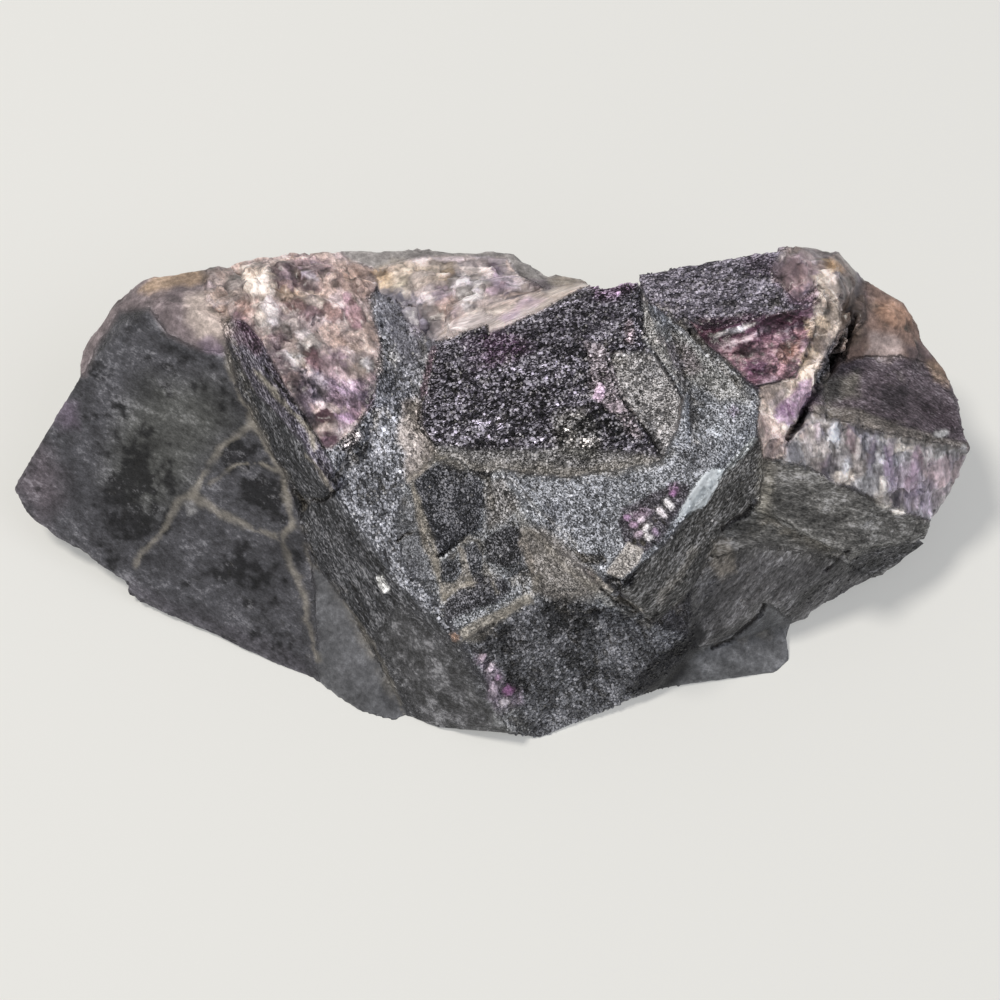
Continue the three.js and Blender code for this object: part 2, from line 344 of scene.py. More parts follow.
def makeKind(swell, blocks, grain, contrast, blotch, **more):
    levels = {"swell": swell, "blocks": blocks, "grain": grain, "contrast": contrast, "blotch": blotch}
    plain = {"stretch": 1.0, "druse": 0.0, "snap": None, "tones": 1.0, "broken": False, "facets": False}
    return {**levels, **plain, **more}


def makeZone(kind, run, colour, soft, outline, contrast=1.0, mottle=0):
    place = {"outline": outlineOf(outline), "soft": soft, "ragged": 0.3}
    return {"kind": kind, "run": run, "colour": colour, "contrast": contrast, "mottle": mottle, **place}


def makePatch(colour, cover, soft, outline, ragged=0.8, **more):
    place = {"outline": outlineOf(outline), "soft": soft, "ragged": ragged}
    plain = {"rise": 0, "speck": None, "pool": False, "swept": False}
    return {"colour": colour, "cover": cover, **place, **plain, **more}


def makePool(cover, soft, outline, ragged=0.8):  # where a dark pool gathers
    return makePatch(None, cover, soft, outline, ragged, pool=True)


def makeChip(x, y, wide, tall, turn, rise, colour):
    return {"at": (x, y), "size": (wide, tall), "turn": math.radians(turn), "rise": rise, "colour": colour}


def makeLine(wide, amount, path):
    return {"wide": wide, "amount": amount, "path": outlineOf(path)}


# How each kind of surface is broken up: the size and rise of its swell, its blocks and its grain. Then how
# much its tone varies in specks of 0.23, 0.7 and 2.6 mm, and from blotch to blotch.
kinds = {
    "frost": makeKind((7, 0.12), (1.8, 0.05), (0.8, 0.05), (0.1, 0.13, 0.16), 0.22, stretch=1.5),
    "smooth": makeKind((8, 0.14), (2.4, 0.03), (0.8, 0.03), (0.06, 0.09, 0.16), 0.15),
    "druse": makeKind((6, 0.16), (2, 0.16), (0.85, 0.15), (0.84, 0.4, 0.32), 0.2, stretch=1.9, druse=1),
    "dusty": makeKind((5, 0.1), (1.3, 0.06), (0.75, 0.08), (0.76, 0.25, 0.18), 0.16, stretch=1.2, druse=0.35),
    "streak": makeKind((5, 0.2), (1.5, 0.1), (0.7, 0.07), (0.32, 0.2, 0.15), 0.2, stretch=2.4, druse=0.06),
    "slope": makeKind((5, 0.2), (1.5, 0.1), (0.7, 0.07), (0.24, 0.26, 0.3), 0.22, stretch=2.4, druse=0.06),
    "split": makeKind(
        (5, 0.15), (1.1, 0.06), (0.6, 0.03), (0.1, 0.06, 0.06), 0.1, stretch=7, tones=0.25, broken=True
    ),
    "cleave": makeKind(
        (6, 0.3), (3.2, 0.6), (1.4, 0.08), (0.06, 0.07, 0.12), 0.1, stretch=1.4, snap=(1.3, 0.6), broken=True
    ),
    "columns": makeKind(
        (6, 0.25), (1.8, 0.5), (0.9, 0.08), (0.08, 0.12, 0.2), 0.15, stretch=2.4, snap=(1, 0.5), broken=True
    ),
    "crust": makeKind((7, 0.5), (3, 0.3), (1.1, 0.13), (0.35, 0.35, 0.3), 0.3, druse=0.08, facets=True),
}

# Painted from the first to the last, and the rest is wild: the kind of surface, its grain's run, its colour,
# how soft its edge is and its outline
zones = {
    "leftFace": makeZone("frost", "left", "#4c4c51", 0.7, [
        -777, 20, -667, 243, -557, 361, -471, 267, -436, 243, -408, 173, -374, 102, -338, 44, -314, -19,
        -295, -94, -279, -298, -424, -243, -597, -157, -754, -47,
    ], mottle=0.85),
    "leftRim": makeZone("smooth", "left", "#807578", 0.8, [
        -675, 201, -667, 259, -565, 369, -416, 400, -408, 286, -436, 232, -471, 236, -518, 259, -550, 301,
        -597, 295, -636, 236, -650, 195,
    ]),
    "band": makeZone("streak", "band", "#434448", 0.4, [
        -436, 283, -408, 290, -364, 207, -308, 110, -259, 16, -160, -126, -60, -228, -16, -298, 47, -408,
        -126, -377, -243, -165, -295, -94, -314, -19, -338, 44, -374, 102, -408, 173,
    ], contrast=1.5),
    "bandTip": makeZone("smooth", "band", "#565659", 2.5, [
        -204, -220, -157, -165, -71, -228, -16, -298, 47, -408, -110, -377, -157, -298,
    ], contrast=2.4, mottle=0.4),
    "foot": makeZone("smooth", "band", "#67686c", 0.5, [
        -295, -94, -243, -160, -144, -338, -133, -385, -283, -345, -286, -220,
    ], mottle=0.4),
    "matrixMiddle": makeZone("druse", "mosaic", "#8c8e95", 0.5, [
        -210, 320, -170, 338, -149, 314, -118, 259, -99, 243, -113, 212, -124, 165, -130, 126, -99, 78,
        -94, -157, -71, -220, -160, -129, -259, 13, -289, 85, -267, 94, -228, 118, -201, 157, -192, 243,
    ]),
    "pinkChips": makeZone("cleave", "band", "#ddcbc6", 0.4, [
        -458, 374, -392, 416, -259, 408, -181, 358, -207, 314, -188, 243, -198, 157, -228, 110, -267, 82,
        -289, 85, -314, 133, -338, 181, -374, 243, -400, 275, -432, 286, -463, 314,
    ], contrast=1.7),
    "hatched": makeZone("streak", "band", "#5b5763", 0.3, [
        -436, 267, -421, 289, -399, 279, -374, 246, -338, 184, -295, 113, -243, 22, -267, 13, -314, 94,
        -374, 157, -411, 217,
    ], contrast=1.9),
    "creamChips": makeZone("cleave", "centre", "#ebdedc", 0.4, [
        -195, 380, -157, 400, -110, 389, 0, 392, 31, 353, 71, 330, 157, 345, 94, 306, -20, 262, -100, 246,
        -119, 259, -149, 286, -160, 314, -192, 327,
    ]),
    "creamBand": makeZone("split", "centre", "#dbd0ca", 0.3, [
        -100, 254, -71, 286, -16, 306, 47, 323, 94, 336, 157, 349, 166, 339, 94, 311, 31, 283, -17, 261,
        -20, 273, -60, 261,
    ]),
    "backRim": makeZone("smooth", "centre", "#8f8b8a", 0.5, [
        -275, 416, -126, 416, 31, 416, 157, 374, 151, 345, 75, 330, 44, 342, 8, 378, -110, 382, -157, 374,
        -192, 361, -236, 374,
    ]),
    "mosaic": makeZone("dusty", "mosaic", "#909398", 0.4, [
        -154, 28, -97, 71, 0, 53, 94, -71, 157, -138, 239, -192, 188, -185, 47, -160, -60, -220, -94, -165,
        -119, -141, -154, -94, -163, -31,
    ], mottle=0.3),
    "lowerFace": makeZone("druse", "lower", "#66676c", 0.6, [
        -60, -223, 47, -157, 118, -157, 188, -176, 239, -192, 314, -220, 220, -314, 63, -408, 31, -392,
        -16, -298,
    ], contrast=0.6, mottle=0.75),
    "centreFace": makeZone("druse", "centre", "#4d4953", 0.25, [
        -100, 250, -78, 254, -60, 262, -31, 273, -20, 275, -17, 259, 0, 264, 31, 283, 63, 298, 94, 314,
        126, 330, 157, 341, 176, 350, 210, 364, 221, 314, 225, 259, 242, 229, 220, 232, 173, 231, 192, 163,
        220, 119, 257, 66, 220, 69, 157, 78, 94, 80, 0, 78, -99, 83, -119, 107, -129, 126, -122, 157,
        -115, 188, -110, 217,
    ], contrast=1.5),
    "centreSkirt": makeZone("dusty", "centre", "#7f7d7d", 0.7, [
        -110, 88, 0, 78, 94, 80, 157, 78, 257, 68, 267, 47, 157, 42, 94, 35, 0, 47, -28, 31, -66, 63, -97, 60,
    ]),
    "stepFacet": makeZone("dusty", "centre", "#a7a4a4", 0.25, [
        171, 229, 220, 236, 242, 229, 264, 192, 287, 162, 281, 126, 265, 75, 256, 68, 221, 121, 192, 165,
    ]),
    "frontFace": makeZone("dusty", "front", "#93969d", 0.3, [
        5, 47, 94, 35, 157, 42, 257, 61, 283, 126, 289, 160, 264, 196, 226, 248, 220, 314, 243, 305, 283, 270,
        333, 236, 385, 185, 411, 160, 399, 94, 352, 44, 301, -11, 283, -38, 243, -82, 188, -144, 157, -121,
        94, -83, 63, -50,
    ]),
    "frontSide": makeZone("streak", "frontEdge", "#585756", 0.3, [
        185, -144, 220, -102, 259, -71, 298, -19, 352, 41, 402, 97, 424, 94, 418, 31, 408, -3, 349, -47,
        320, -107, 301, -144, 262, -179, 237, -195,
    ], contrast=1.7),
    "upperRight": makeZone("druse", "upperRight", "#7e7984", 0.4, [
        214, 364, 314, 416, 455, 416, 490, 374, 447, 338, 463, 314, 493, 311, 471, 289, 408, 279, 314, 273,
        283, 279, 248, 301, 223, 314,
    ], contrast=0.72),
    "upperPale": makeZone("cleave", "columns", "#978f8d", 1, [
        427, 374, 471, 416, 542, 400, 578, 345, 578, 279, 556, 283, 537, 267, 531, 314, 495, 336, 471, 311,
        447, 330, 430, 349,
    ]),
    "maroonChips": makeZone("cleave", "upperRight", "#9a7d87", 0.3, [
        298, 279, 322, 267, 377, 279, 495, 305, 502, 270, 490, 239, 468, 195, 403, 176, 377, 199, 355, 223,
        330, 242,
    ], contrast=3.5),
    "creamRib": makeZone("cleave", "columns", "#f6e7da", 0.35, [
        490, 305, 506, 320, 531, 309, 537, 275, 515, 236, 493, 198, 490, 163, 471, 135, 449, 94, 449, 69,
        414, 66, 405, 118, 411, 157, 408, 176, 466, 193, 480, 232, 496, 267,
    ], contrast=1.9),
    "rightTop": makeZone("smooth", "rightFoot", "#88736b", 0.5, [
        575, 353, 628, 338, 699, 243, 714, 173, 667, 210, 628, 225, 575, 225, 542, 217, 553, 259, 575, 283,
    ]),
    "rightUpper": makeZone("streak", "right", "#5b5259", 0.5, [
        528, 217, 575, 225, 628, 225, 667, 214, 714, 181, 754, 126, 746, 71, 628, 99, 550, 118, 490, 135,
        480, 149, 506, 182,
    ], contrast=0.8, mottle=0.5),
    "columns": makeZone("columns", "columns", "#adacae", 0.3, [
        449, 85, 471, 118, 490, 138, 550, 121, 628, 99, 750, 78, 722, 0, 678, -35, 636, -19, 597, -3, 557, 20,
        526, 31, 471, 57, 446, 63,
    ], contrast=1.35),
    "rightSlope": makeZone("slope", "right", "#676664", 0.5, [
        414, 66, 446, 61, 471, 57, 526, 30, 597, -5, 691, -39, 683, -71, 597, -126, 542, -133, 455, -207,
        416, -166, 377, -207, 314, -236, 298, -204, 301, -149, 320, -107, 349, -47, 408, -3,
    ], contrast=0.95),
    "slopeFoot": makeZone("slope", "rightFoot", "#565557", 2.5, [
        322, -94, 408, -71, 534, -94, 597, -126, 542, -149, 455, -212, 416, -166, 377, -207, 314, -236,
        298, -204, 301, -149,
    ], contrast=0.65, mottle=0.35),
    "toe": makeZone("smooth", "right", "#636467", 0.5, [
        298, -236, 345, -223, 377, -207, 400, -185, 421, -163, 471, -204, 471, -298, 220, -322, 236, -298,
    ], mottle=0.4),
}
zones["wild"] = makeZone("crust", "wild", "#55545a", 1, [])

# Colours on top of the zones: colour, how much it covers, how soft its edge is and its outline. Some stand
# proud, some have more or fewer specks, and some are painted shadow that keeps the dust off.
patches = {
    "tipTint": makePatch("mauve", 0.2, 3, [-769, 24, -722, 94, -691, 47, -691, 0, -722, -31]),
    "leftBlush": makePatch("violet", 0.3, 1.2, [-703, 133, -688, 157, -663, 149, -659, 113, -685, 113]),
    "leftShadeA": makePool(0.7, 3, [-631, 0, -597, 94, -534, 78, -506, 16, -534, -47, -600, -71], ragged=2),
    "leftShadeB": makePool(0.55, 3, [
        -581, 243, -471, 236, -432, 196, -436, 157, -502, 157, -565, 181,
    ], ragged=2),
    "leftPoolA": makePool(0.9, 0.7, [-436, 66, -414, 94, -380, 85, -389, 53, -421, 41], ragged=1.4),
    "leftPoolB": makePool(1, 0.7, [
        -411, 28, -380, 47, -339, 38, -334, 0, -339, -25, -374, -11, -408, 5,
    ], ragged=1.4),
    "leftPoolC": makePool(0.7, 0.7, [-374, 82, -345, 72, -349, 47, -374, 53], ragged=1.2),
    "leftPoolD": makePool(0.8, 1.4, [
        -449, -107, -424, -71, -374, -78, -339, -94, -311, -144, -374, -144, -432, -144,
    ], ragged=1.6),
    "leftPoolE": makePool(0.6, 2, [-421, -160, -353, -154, -308, -192, -323, -239, -392, -223], ragged=1.6),
    "leftPoolF": makePool(0.8, 0.8, [-578, -44, -537, -28, -537, -55, -568, -66], ragged=1.2),
    "leftEdgeDark": makePool(0.65, 0.6, [-330, -63, -309, -47, -292, -113, -306, -132, -320, -97]),
    "cornerDarkA": makePool(0.65, 0.7, [-653, 201, -642, 229, -625, 220, -631, 193]),
    "cornerDarkB": makePatch("ink", 0.65, 0.8, [-590, 294, -565, 305, -560, 273, -584, 264]),
    "rimStain": makePatch("#b39a80", 0.7, 0.6, [
        -571, 330, -550, 350, -471, 364, -458, 347, -510, 334, -550, 320,
    ]),
    "rimDark": makePatch("slate", 0.5, 0.6, [-477, 374, -421, 392, -414, 374, -449, 339, -471, 342]),
    "chipTopMauve": makePatch("#85727f", 0.7, 0.6, [
        -341, 374, -314, 386, -265, 380, -262, 358, -298, 352, -330, 361,
    ], ragged=0.5),
    "chipOrange": makePatch("#bda294", 0.75, 1, [
        -265, 364, -228, 364, -201, 342, -204, 311, -232, 320, -261, 330,
    ], ragged=0.5),
    "chipCreamA": makePatch("#efe5dc", 0.9, 0.5, [
        -403, 361, -385, 371, -361, 364, -350, 338, -358, 320, -385, 317, -402, 330,
    ], rise=1.12, ragged=0.5),
    "chipCreamB": makePatch("#f3ebe6", 0.9, 0.4, [
        -383, 309, -364, 316, -347, 298, -350, 275, -374, 265, -386, 283,
    ], rise=1.12, ragged=0.5),
    "chipCreamC": makePatch("#cfc4c0", 0.8, 0.5, [
        -425, 350, -405, 356, -402, 327, -421, 319, -429, 333,
    ], rise=0.56, ragged=0.5),
    "chipRust": makePatch("#9c7f76", 0.75, 0.5, [
        -419, 312, -392, 317, -386, 298, -402, 283, -418, 295,
    ], ragged=0.5),
    "chipRose": makePatch("#97828a", 0.75, 0.4, [
        -352, 367, -327, 374, -322, 333, -345, 325, -355, 345,
    ], rise=0.42, ragged=0.5),
    "chipCrevice": makePatch("#5f4a55", 0.75, 0.25, [
        -323, 352, -308, 347, -279, 330, -286, 320, -309, 333, -325, 342,
    ], rise=-0.5, ragged=0.5),
    "chipSnow": makePatch("#cbc0c6", 0.85, 0.4, [
        -314, 358, -292, 358, -278, 339, -289, 334, -309, 347,
    ], rise=0.7, ragged=0.5),
    "chipSeam": makePatch("#c3ad99", 0.8, 0.5, [
        -358, 330, -336, 334, -314, 327, -317, 314, -345, 311, -361, 317,
    ], ragged=0.5),
    "chipBrown": makePatch("#80666a", 0.8, 0.25, [
        -347, 312, -314, 317, -281, 305, -279, 292, -306, 286, -333, 294,
    ], rise=0.56, ragged=0.5),
    "chipSalmon": makePatch("#a88880", 0.8, 0.25, [
        -289, 306, -267, 309, -250, 300, -254, 283, -273, 281,
    ], rise=0.56, ragged=0.5),
    "chipWine": makePatch("#8d6c74", 0.8, 0.25, [
        -248, 323, -236, 320, -214, 286, -220, 268, -237, 273, -246, 295,
    ], rise=0.7, ragged=0.5),
    "chipPaleBand": makePatch("#e0d3c8", 0.85, 0.25, [
        -311, 323, -286, 320, -267, 308, -279, 305, -301, 311,
    ], rise=0.56, ragged=0.5),
    "chipDark": makePatch("#5e4b58", 0.75, 0.4, [
        -374, 262, -352, 267, -333, 254, -339, 237, -364, 237,
    ], ragged=0.5, speck=1.5),
    "chipGreyA": makePatch("#bdb3ab", 0.8, 0.5, [
        -349, 286, -320, 290, -309, 270, -330, 259, -347, 267,
    ], rise=0.56, ragged=0.5),
    "chipGreyB": makePatch("#cfc9c7", 0.85, 0.4, [
        -325, 267, -295, 264, -270, 243, -286, 232, -317, 243,
    ], rise=0.7, ragged=0.5),
    "chipRoseBand": makePatch("#b3a099", 0.7, 0.5, [
        -272, 275, -239, 264, -207, 243, -217, 232, -251, 243, -273, 257,
    ], ragged=0.5, speck=1.6),
    "chipWhiteA": makePatch("#e2dedd", 0.9, 0.4, [
        -338, 232, -314, 239, -305, 220, -314, 204, -336, 214,
    ], rise=0.84, ragged=0.5),
    "chipMaroonTop": makePatch("#68434f", 0.8, 0.3, [
        -305, 237, -286, 236, -275, 214, -283, 198, -301, 210,
    ], rise=0.28, ragged=0.5),
    "chipMauve": makePatch("#a28c95", 0.8, 0.6, [
        -279, 232, -239, 229, -232, 195, -261, 185, -279, 207,
    ], ragged=0.5),
    "chipCreamRight": makePatch("#c9bab3", 0.85, 0.6, [
        -239, 232, -210, 243, -188, 236, -187, 201, -214, 188, -236, 201,
    ], ragged=0.5),
    "chipWhiteB": makePatch("#f6f0ea", 0.95, 0.3, [
        -220, 225, -203, 229, -196, 214, -210, 203, -221, 210,
    ], rise=0.84, ragged=0.5),
    "chipGrain": makePatch("#85808f", 0.8, 0.7, [
        -320, 207, -275, 201, -257, 170, -267, 148, -301, 154, -320, 176,
    ], ragged=0.5, speck=2.6),
    "chipViolet": makePatch("#9c869e", 0.8, 0.8, [
        -273, 195, -236, 188, -198, 195, -198, 144, -236, 135, -270, 154,
    ], ragged=0.5, speck=2.4),
    "chipMaroon": makePatch("#4a2434", 0.9, 0.25, [
        -292, 140, -275, 144, -257, 135, -261, 119, -286, 116,
    ], rise=0.42, ragged=0.5, speck=0.5),
    "chipPinkStreak": makePatch("#c3a3bb", 0.85, 0.4, [
        -257, 132, -236, 140, -220, 141, -226, 119, -251, 110,
    ], ragged=0.5, speck=1.5),
    "chipCreamStreak": makePatch("#c9b7b0", 0.8, 0.3, [
        -279, 116, -254, 126, -242, 119, -261, 107, -279, 104,
    ], rise=0.42, ragged=0.5),
    "chipMaroonLow": makePatch("#4d2a3c", 0.85, 0.3, [
        -283, 104, -264, 110, -254, 94, -267, 82, -281, 85,
    ], ragged=0.5),
    "chipLowGrain": makePatch("#a29896", 0.7, 0.6, [
        -254, 110, -229, 119, -217, 100, -236, 78, -251, 82,
    ], ragged=0.5, speck=2),
    "ridgeShade": makePatch("#55505c", 0.75, 0.6, [
        -341, 192, -320, 182, -292, 138, -289, 113, -308, 119, -330, 157,
    ], speck=1.5),
    "ridgeTop": makePatch("#5a4552", 0.7, 0.5, [
        -432, 268, -414, 279, -399, 270, -374, 242, -383, 226, -408, 243, -427, 251,
    ]),
    "ridgeDark": makePatch("#5e4657", 0.75, 0.4, [
        -422, 305, -405, 295, -383, 267, -372, 243, -386, 242, -408, 270, -424, 289,
    ]),
    "rimPale": makePatch("#cfc0b8", 0.85, 1.2, [
        -487, 322, -447, 330, -427, 320, -424, 267, -447, 245, -471, 257, -490, 286,
    ], rise=0.4),
    "rimLilac": makePatch("#8f7f92", 0.6, 0.6, [-477, 254, -449, 257, -430, 243, -436, 226, -463, 232]),
    "middleDarkC": makePatch("ink", 0.6, 0.4, [-223, 94, -210, 110, -207, 86, -217, 47, -226, 55]),
    "middleDarkD": makePatch("slate", 0.5, 0.6, [-188, 181, -170, 195, -154, 176, -170, 154], ragged=1.2),
    "middleBlue": makePatch("#60626c", 0.6, 1.5, [
        -188, 236, -126, 251, -113, 212, -129, 165, -157, 141, -201, 94, -220, 63, -201, 157,
    ], speck=0.7),
    "middleSteel": makePatch("#6d6f76", 0.6, 1.5, [
        -267, 63, -201, 78, -157, 31, -118, -94, -94, -157, -71, -220, -160, -129, -259, 13,
    ], speck=0.7),
    "middlePale": makePatch("silver", 0.6, 0.5, [-182, 228, -165, 243, -154, 223, -166, 204]),
    "middleCream": makePatch("#a99f99", 0.75, 0.6, [
        -157, 154, -129, 162, -127, 124, -99, 80, -116, 44, -148, 28, -157, 94,
    ], speck=0.3),
    "creamGlow": makePatch("#c9bcab", 0.8, 1, [
        -188, 361, -157, 374, -118, 374, -78, 374, -60, 358, -78, 339, -126, 330, -160, 330, -185, 339,
    ]),
    "creamAmber": makePatch("#b89d7c", 0.7, 0.6, [-94, 358, -71, 360, -66, 344, -88, 341]),
    "creamTanSpot": makePatch("#ccb392", 0.7, 0.5, [-195, 356, -176, 360, -173, 339, -192, 336]),
    "creamWhite": makePatch("#e6dccb", 0.85, 0.6, [
        -170, 339, -148, 352, -135, 330, -151, 314, -166, 320,
    ], rise=0.4),
    "creamMauve": makePatch("#8f8093", 0.7, 0.6, [-108, 339, -85, 341, -75, 320, -94, 308, -107, 320]),
    "creamPale": makePatch("#d9d3d3", 0.85, 0.7, [
        -75, 352, -47, 358, -25, 349, -22, 314, -47, 295, -69, 314,
    ], rise=0.4),
    "creamLilac": makePatch("#ad9bb0", 0.8, 0.35, [
        -22, 330, -20, 355, -11, 369, 0, 358, 19, 339, 27, 327, 13, 320, -9, 317,
    ], rise=0.3),
    "creamRimLight": makePatch("#cfc4cc", 0.8, 0.25, [
        -16, 377, -5, 374, 19, 349, 35, 334, 28, 328, 11, 342, -9, 364,
    ]),
    "creamStep": makePatch("#cbbdb9", 0.8, 0.4, [
        -47, 301, -16, 317, 24, 330, 47, 342, 71, 325, 31, 308, -16, 295,
    ], rise=0.3),
    "creamRose": makePatch("#a8948f", 0.7, 0.6, [-97, 314, -71, 314, -50, 295, -66, 279, -88, 286]),
    "creamBlue": makePatch("#797983", 0.85, 1, [
        -204, 320, -181, 333, -149, 330, -118, 308, -94, 283, -100, 251, -118, 226, -141, 217, -165, 232,
        -188, 267, -201, 295,
    ], speck=0.3),
    "blueDarkA": makePatch("#4b4e58", 0.7, 0.5, [-198, 286, -188, 298, -179, 279, -188, 261, -198, 267]),
    "blueDarkB": makePatch("#4b4c56", 0.65, 0.4, [-173, 279, -162, 292, -155, 283, -166, 257, -176, 261]),
    "bluePale": makePatch("#b3abba", 0.6, 0.5, [-138, 286, -119, 289, -113, 270, -126, 254, -138, 267]),
    "bandLilac": makePatch("#c9b3cb", 0.6, 0.5, [0, 286, 47, 314, 71, 317, 31, 289, 8, 275]),
    "rimMauve": makePatch("#5b5059", 0.75, 0.5, [38, 345, 71, 349, 88, 336, 71, 327, 47, 330]),
    "rimTan": makePatch("#9d9287", 0.7, 0.6, [75, 350, 129, 350, 138, 339, 110, 330, 88, 333]),
    "centrePurpleA": makePatch("plum", 0.6, 0.9, [-60, 248, 0, 262, 19, 243, 0, 212, -41, 198], speck=0.5),
    "centrePurpleB": makePatch("plum", 0.5, 0.9, [8, 257, 47, 270, 60, 236, 24, 217]),
    "centreTop": makePatch("#6a506c", 0.65, 0.6, [138, 330, 207, 358, 215, 330, 166, 311]),
    "centrePlum": makePatch("#5d3f5c", 0.5, 1.2, [
        -35, 243, 0, 259, 38, 264, 44, 236, 16, 215, -19, 217,
    ], ragged=1.5),
    "bandSide": makePatch("#40343f", 0.7, 0.4, [
        -371, 239, -345, 248, -314, 201, -287, 149, -286, 119, -301, 119, -339, 176, -367, 217,
    ], ragged=1),
    "centreQuiet": makePatch(None, 0.9, 2, [
        -110, 217, -100, 243, 157, 330, 214, 314, 214, 275, 110, 243, -94, 181,
    ], speck=0.7),
    "centreSalt": makePatch(None, 1, 2, [
        -122, 160, 0, 212, 141, 220, 192, 157, 220, 94, -99, 94, -129, 126,
    ], speck=0.95),
    "centreGreen": makePatch("olive", 0.5, 0.9, [82, 129, 133, 141, 157, 94, 149, 66, 91, 75]),
    # Painted shadow on the stepped risers down the right of the centre face
    "centreShadowA": makePatch("ink", 0.6, 0.3, [113, 124, 157, 129, 160, 96, 126, 93]),
    "centreShadowB": makePatch("ink", 0.6, 0.3, [166, 133, 193, 129, 207, 96, 176, 94]),
    "centreShadowC": makePatch("ink", 0.8, 0.3, [220, 138, 236, 126, 259, 68, 239, 78]),
    "maroonEdge": makePatch("#775f6b", 0.6, 0.12, [
        -126, 160, -116, 217, -108, 243, -100, 243, -108, 207, -116, 166,
    ], ragged=0.2),
    "stripPale": makePatch("#8f858a", 0.75, 0.3, [
        132, 248, 157, 245, 174, 220, 187, 179, 207, 133, 223, 94, 209, 97, 187, 138, 162, 154, 144, 179,
        138, 217,
    ], rise=0.35, speck=0.7),
    "stripLilacA": makePatch("#cdb6cb", 0.95, 0.19, [
        146, 160, 151, 179, 162, 184, 166, 170, 160, 155,
    ], rise=0.3, ragged=0.2, speck=0.2),
    "stripLilacB": makePatch("#cbbcc6", 0.9, 0.25, [
        166, 152, 182, 157, 198, 148, 192, 137, 173, 140,
    ], ragged=0.3, speck=0.2),
    "facePink": makePatch("#a39299", 0.7, 0.4, [192, 267, 201, 286, 212, 267, 207, 248, 196, 248]),
    "facetDark": makePatch("slate", 0.45, 0.8, [220, 217, 243, 217, 254, 192, 236, 181, 220, 196]),
    "plateA": makePatch("#2f3036", 0.95, 0.15, [
        -143, 28, -119, 47, -94, 58, -66, 61, -31, 31, -27, 0, -30, -31, -35, -50, -50, -52, -71, -68,
        -97, -89, -113, -75, -122, -47, -126, -19, -129, 8,
    ], rise=0.35, ragged=0.3, speck=0.9),
    "plateB": makePatch("#37383d", 0.9, 0.15, [
        -93, -96, -74, -89, -64, -99, -63, -115, -75, -127, -93, -127,
    ], rise=0.35, ragged=0.2),
    "plateC": makePatch("#333439", 0.9, 0.15, [
        -58, -77, -41, -64, -31, -71, -30, -102, -25, -126, -35, -141, -47, -113,
    ], rise=0.35, ragged=0.2),
    "plateD": makePatch("#2c2c30", 0.95, 0.15, [
        -24, -63, 8, -41, 31, -44, 35, -71, 31, -97, 8, -107, -16, -97,
    ], rise=0.35, ragged=0.25),
    "plateE": makePatch("#48484c", 0.6, 0.15, [
        13, -111, 31, -97, 53, -94, 50, -118, 35, -127,
    ], rise=0.2, ragged=0.25),
    "plateF": makePatch("#39383e", 0.9, 0.15, [
        -88, -162, -63, -138, -28, -119, 13, -126, 17, -144, -8, -162, -47, -177, -88, -190,
    ], rise=0.35, ragged=0.3),
    "plateG": makePatch("#6f7074", 0.7, 0.5, [
        -163, 0, -149, 16, -127, -19, -119, -71, -100, -118, -97, -144, -119, -138, -151, -97, -165, -47,
    ], ragged=0.5, speck=0.5),
    "plateGSpot": makePatch("slate", 0.6, 0.4, [-154, -97, -135, -94, -119, -122, -132, -138, -149, -122]),
    "plateH": makePatch("#7c7672", 0.6, 0.6, [-25, 28, 8, 31, 27, 0, 13, -31, -16, -47, -24, -16]),
    "plateDust": makePatch("#7d756d", 0.7, 0.9, [
        38, -38, 71, -44, 118, -82, 160, -138, 148, -157, 94, -157, 53, -144, 44, -94,
    ], speck=0.5),
    "plateEdge": makePatch("#958d84", 0.7, 0.3, [
        30, -38, 38, -47, 57, -97, 53, -122, 44, -104, 31, -71,
    ], speck=0.4),
    "gapLeft": makePatch("#a39c93", 0.8, 0.18, [
        -140, 22, -129, 9, -124, -19, -119, -47, -110, -77, -94, -94, -94, -129, -108, -94, -122, -71,
        -130, -31,
    ], ragged=0.2, speck=0.4),
    "gapMiddle": makePatch("#9b948b", 0.75, 0.18, [
        -66, -71, -57, -75, -46, -113, -38, -138, -63, -138, -88, -159, -94, -144, -91, -130, -72, -129,
        -60, -113, -63, -94,
    ], ragged=0.25, speck=0.35),
    "gapLedge": makePatch("#a09a90", 0.85, 0.18, [
        -66, -207, -35, -188, 8, -166, 44, -148, 52, -160, 13, -181, -31, -203, -57, -220,
    ], rise=0.25, ragged=0.25, speck=0.3),
    "lowerInkA": makePool(0.7, 0.9, [-55, -210, 0, -195, 47, -220, 31, -254, -16, -239], ragged=1.5),
    "lowerInkB": makePool(0.8, 0.9, [60, -151, 157, -157, 163, -195, 94, -207], ragged=1.5),
    "lowerInkC": makePool(0.8, 0.7, [0, -257, 35, -245, 47, -298, 19, -301]),
    "lowerInkD": makePool(0.7, 1, [94, -236, 126, -220, 157, -283, 133, -298], ragged=1.5),
    "leftOlive": makePatch("#62645a", 0.35, 4, [
        -550, 188, -447, 181, -416, 126, -487, 31, -550, -31, -612, 31, -597, 126,
    ]),
    "leftHem": makePatch("#6b6770", 0.35, 1.2, [
        -589, -126, -471, -176, -314, -243, -286, -298, -424, -243, -597, -157,
    ]),
    "leftHemTip": makePatch("#66626a", 0.3, 1, [-754, 8, -675, -71, -589, -126, -600, -157, -722, -63]),
    "lowerViolet": makePatch("#8d8090", 0.6, 0.4, [
        -36, -239, -19, -248, 5, -279, 28, -298, 35, -319, 0, -330, -22, -317, -27, -283,
    ], ragged=1.2, speck=0.4),
    "lowerPlum": makePatch("plum", 0.4, 0.4, [0, -270, 24, -283, 30, -301, 8, -298]),
    "lowerPale": makePatch("#8b8c8d", 0.5, 0.8, [-19, -320, 31, -320, 50, -358, 16, -374, -9, -353]),
    "frontInk": makePatch("#454853", 0.55, 0.6, [64, -3, 94, 2, 100, -22, 86, -47, 71, -41]),
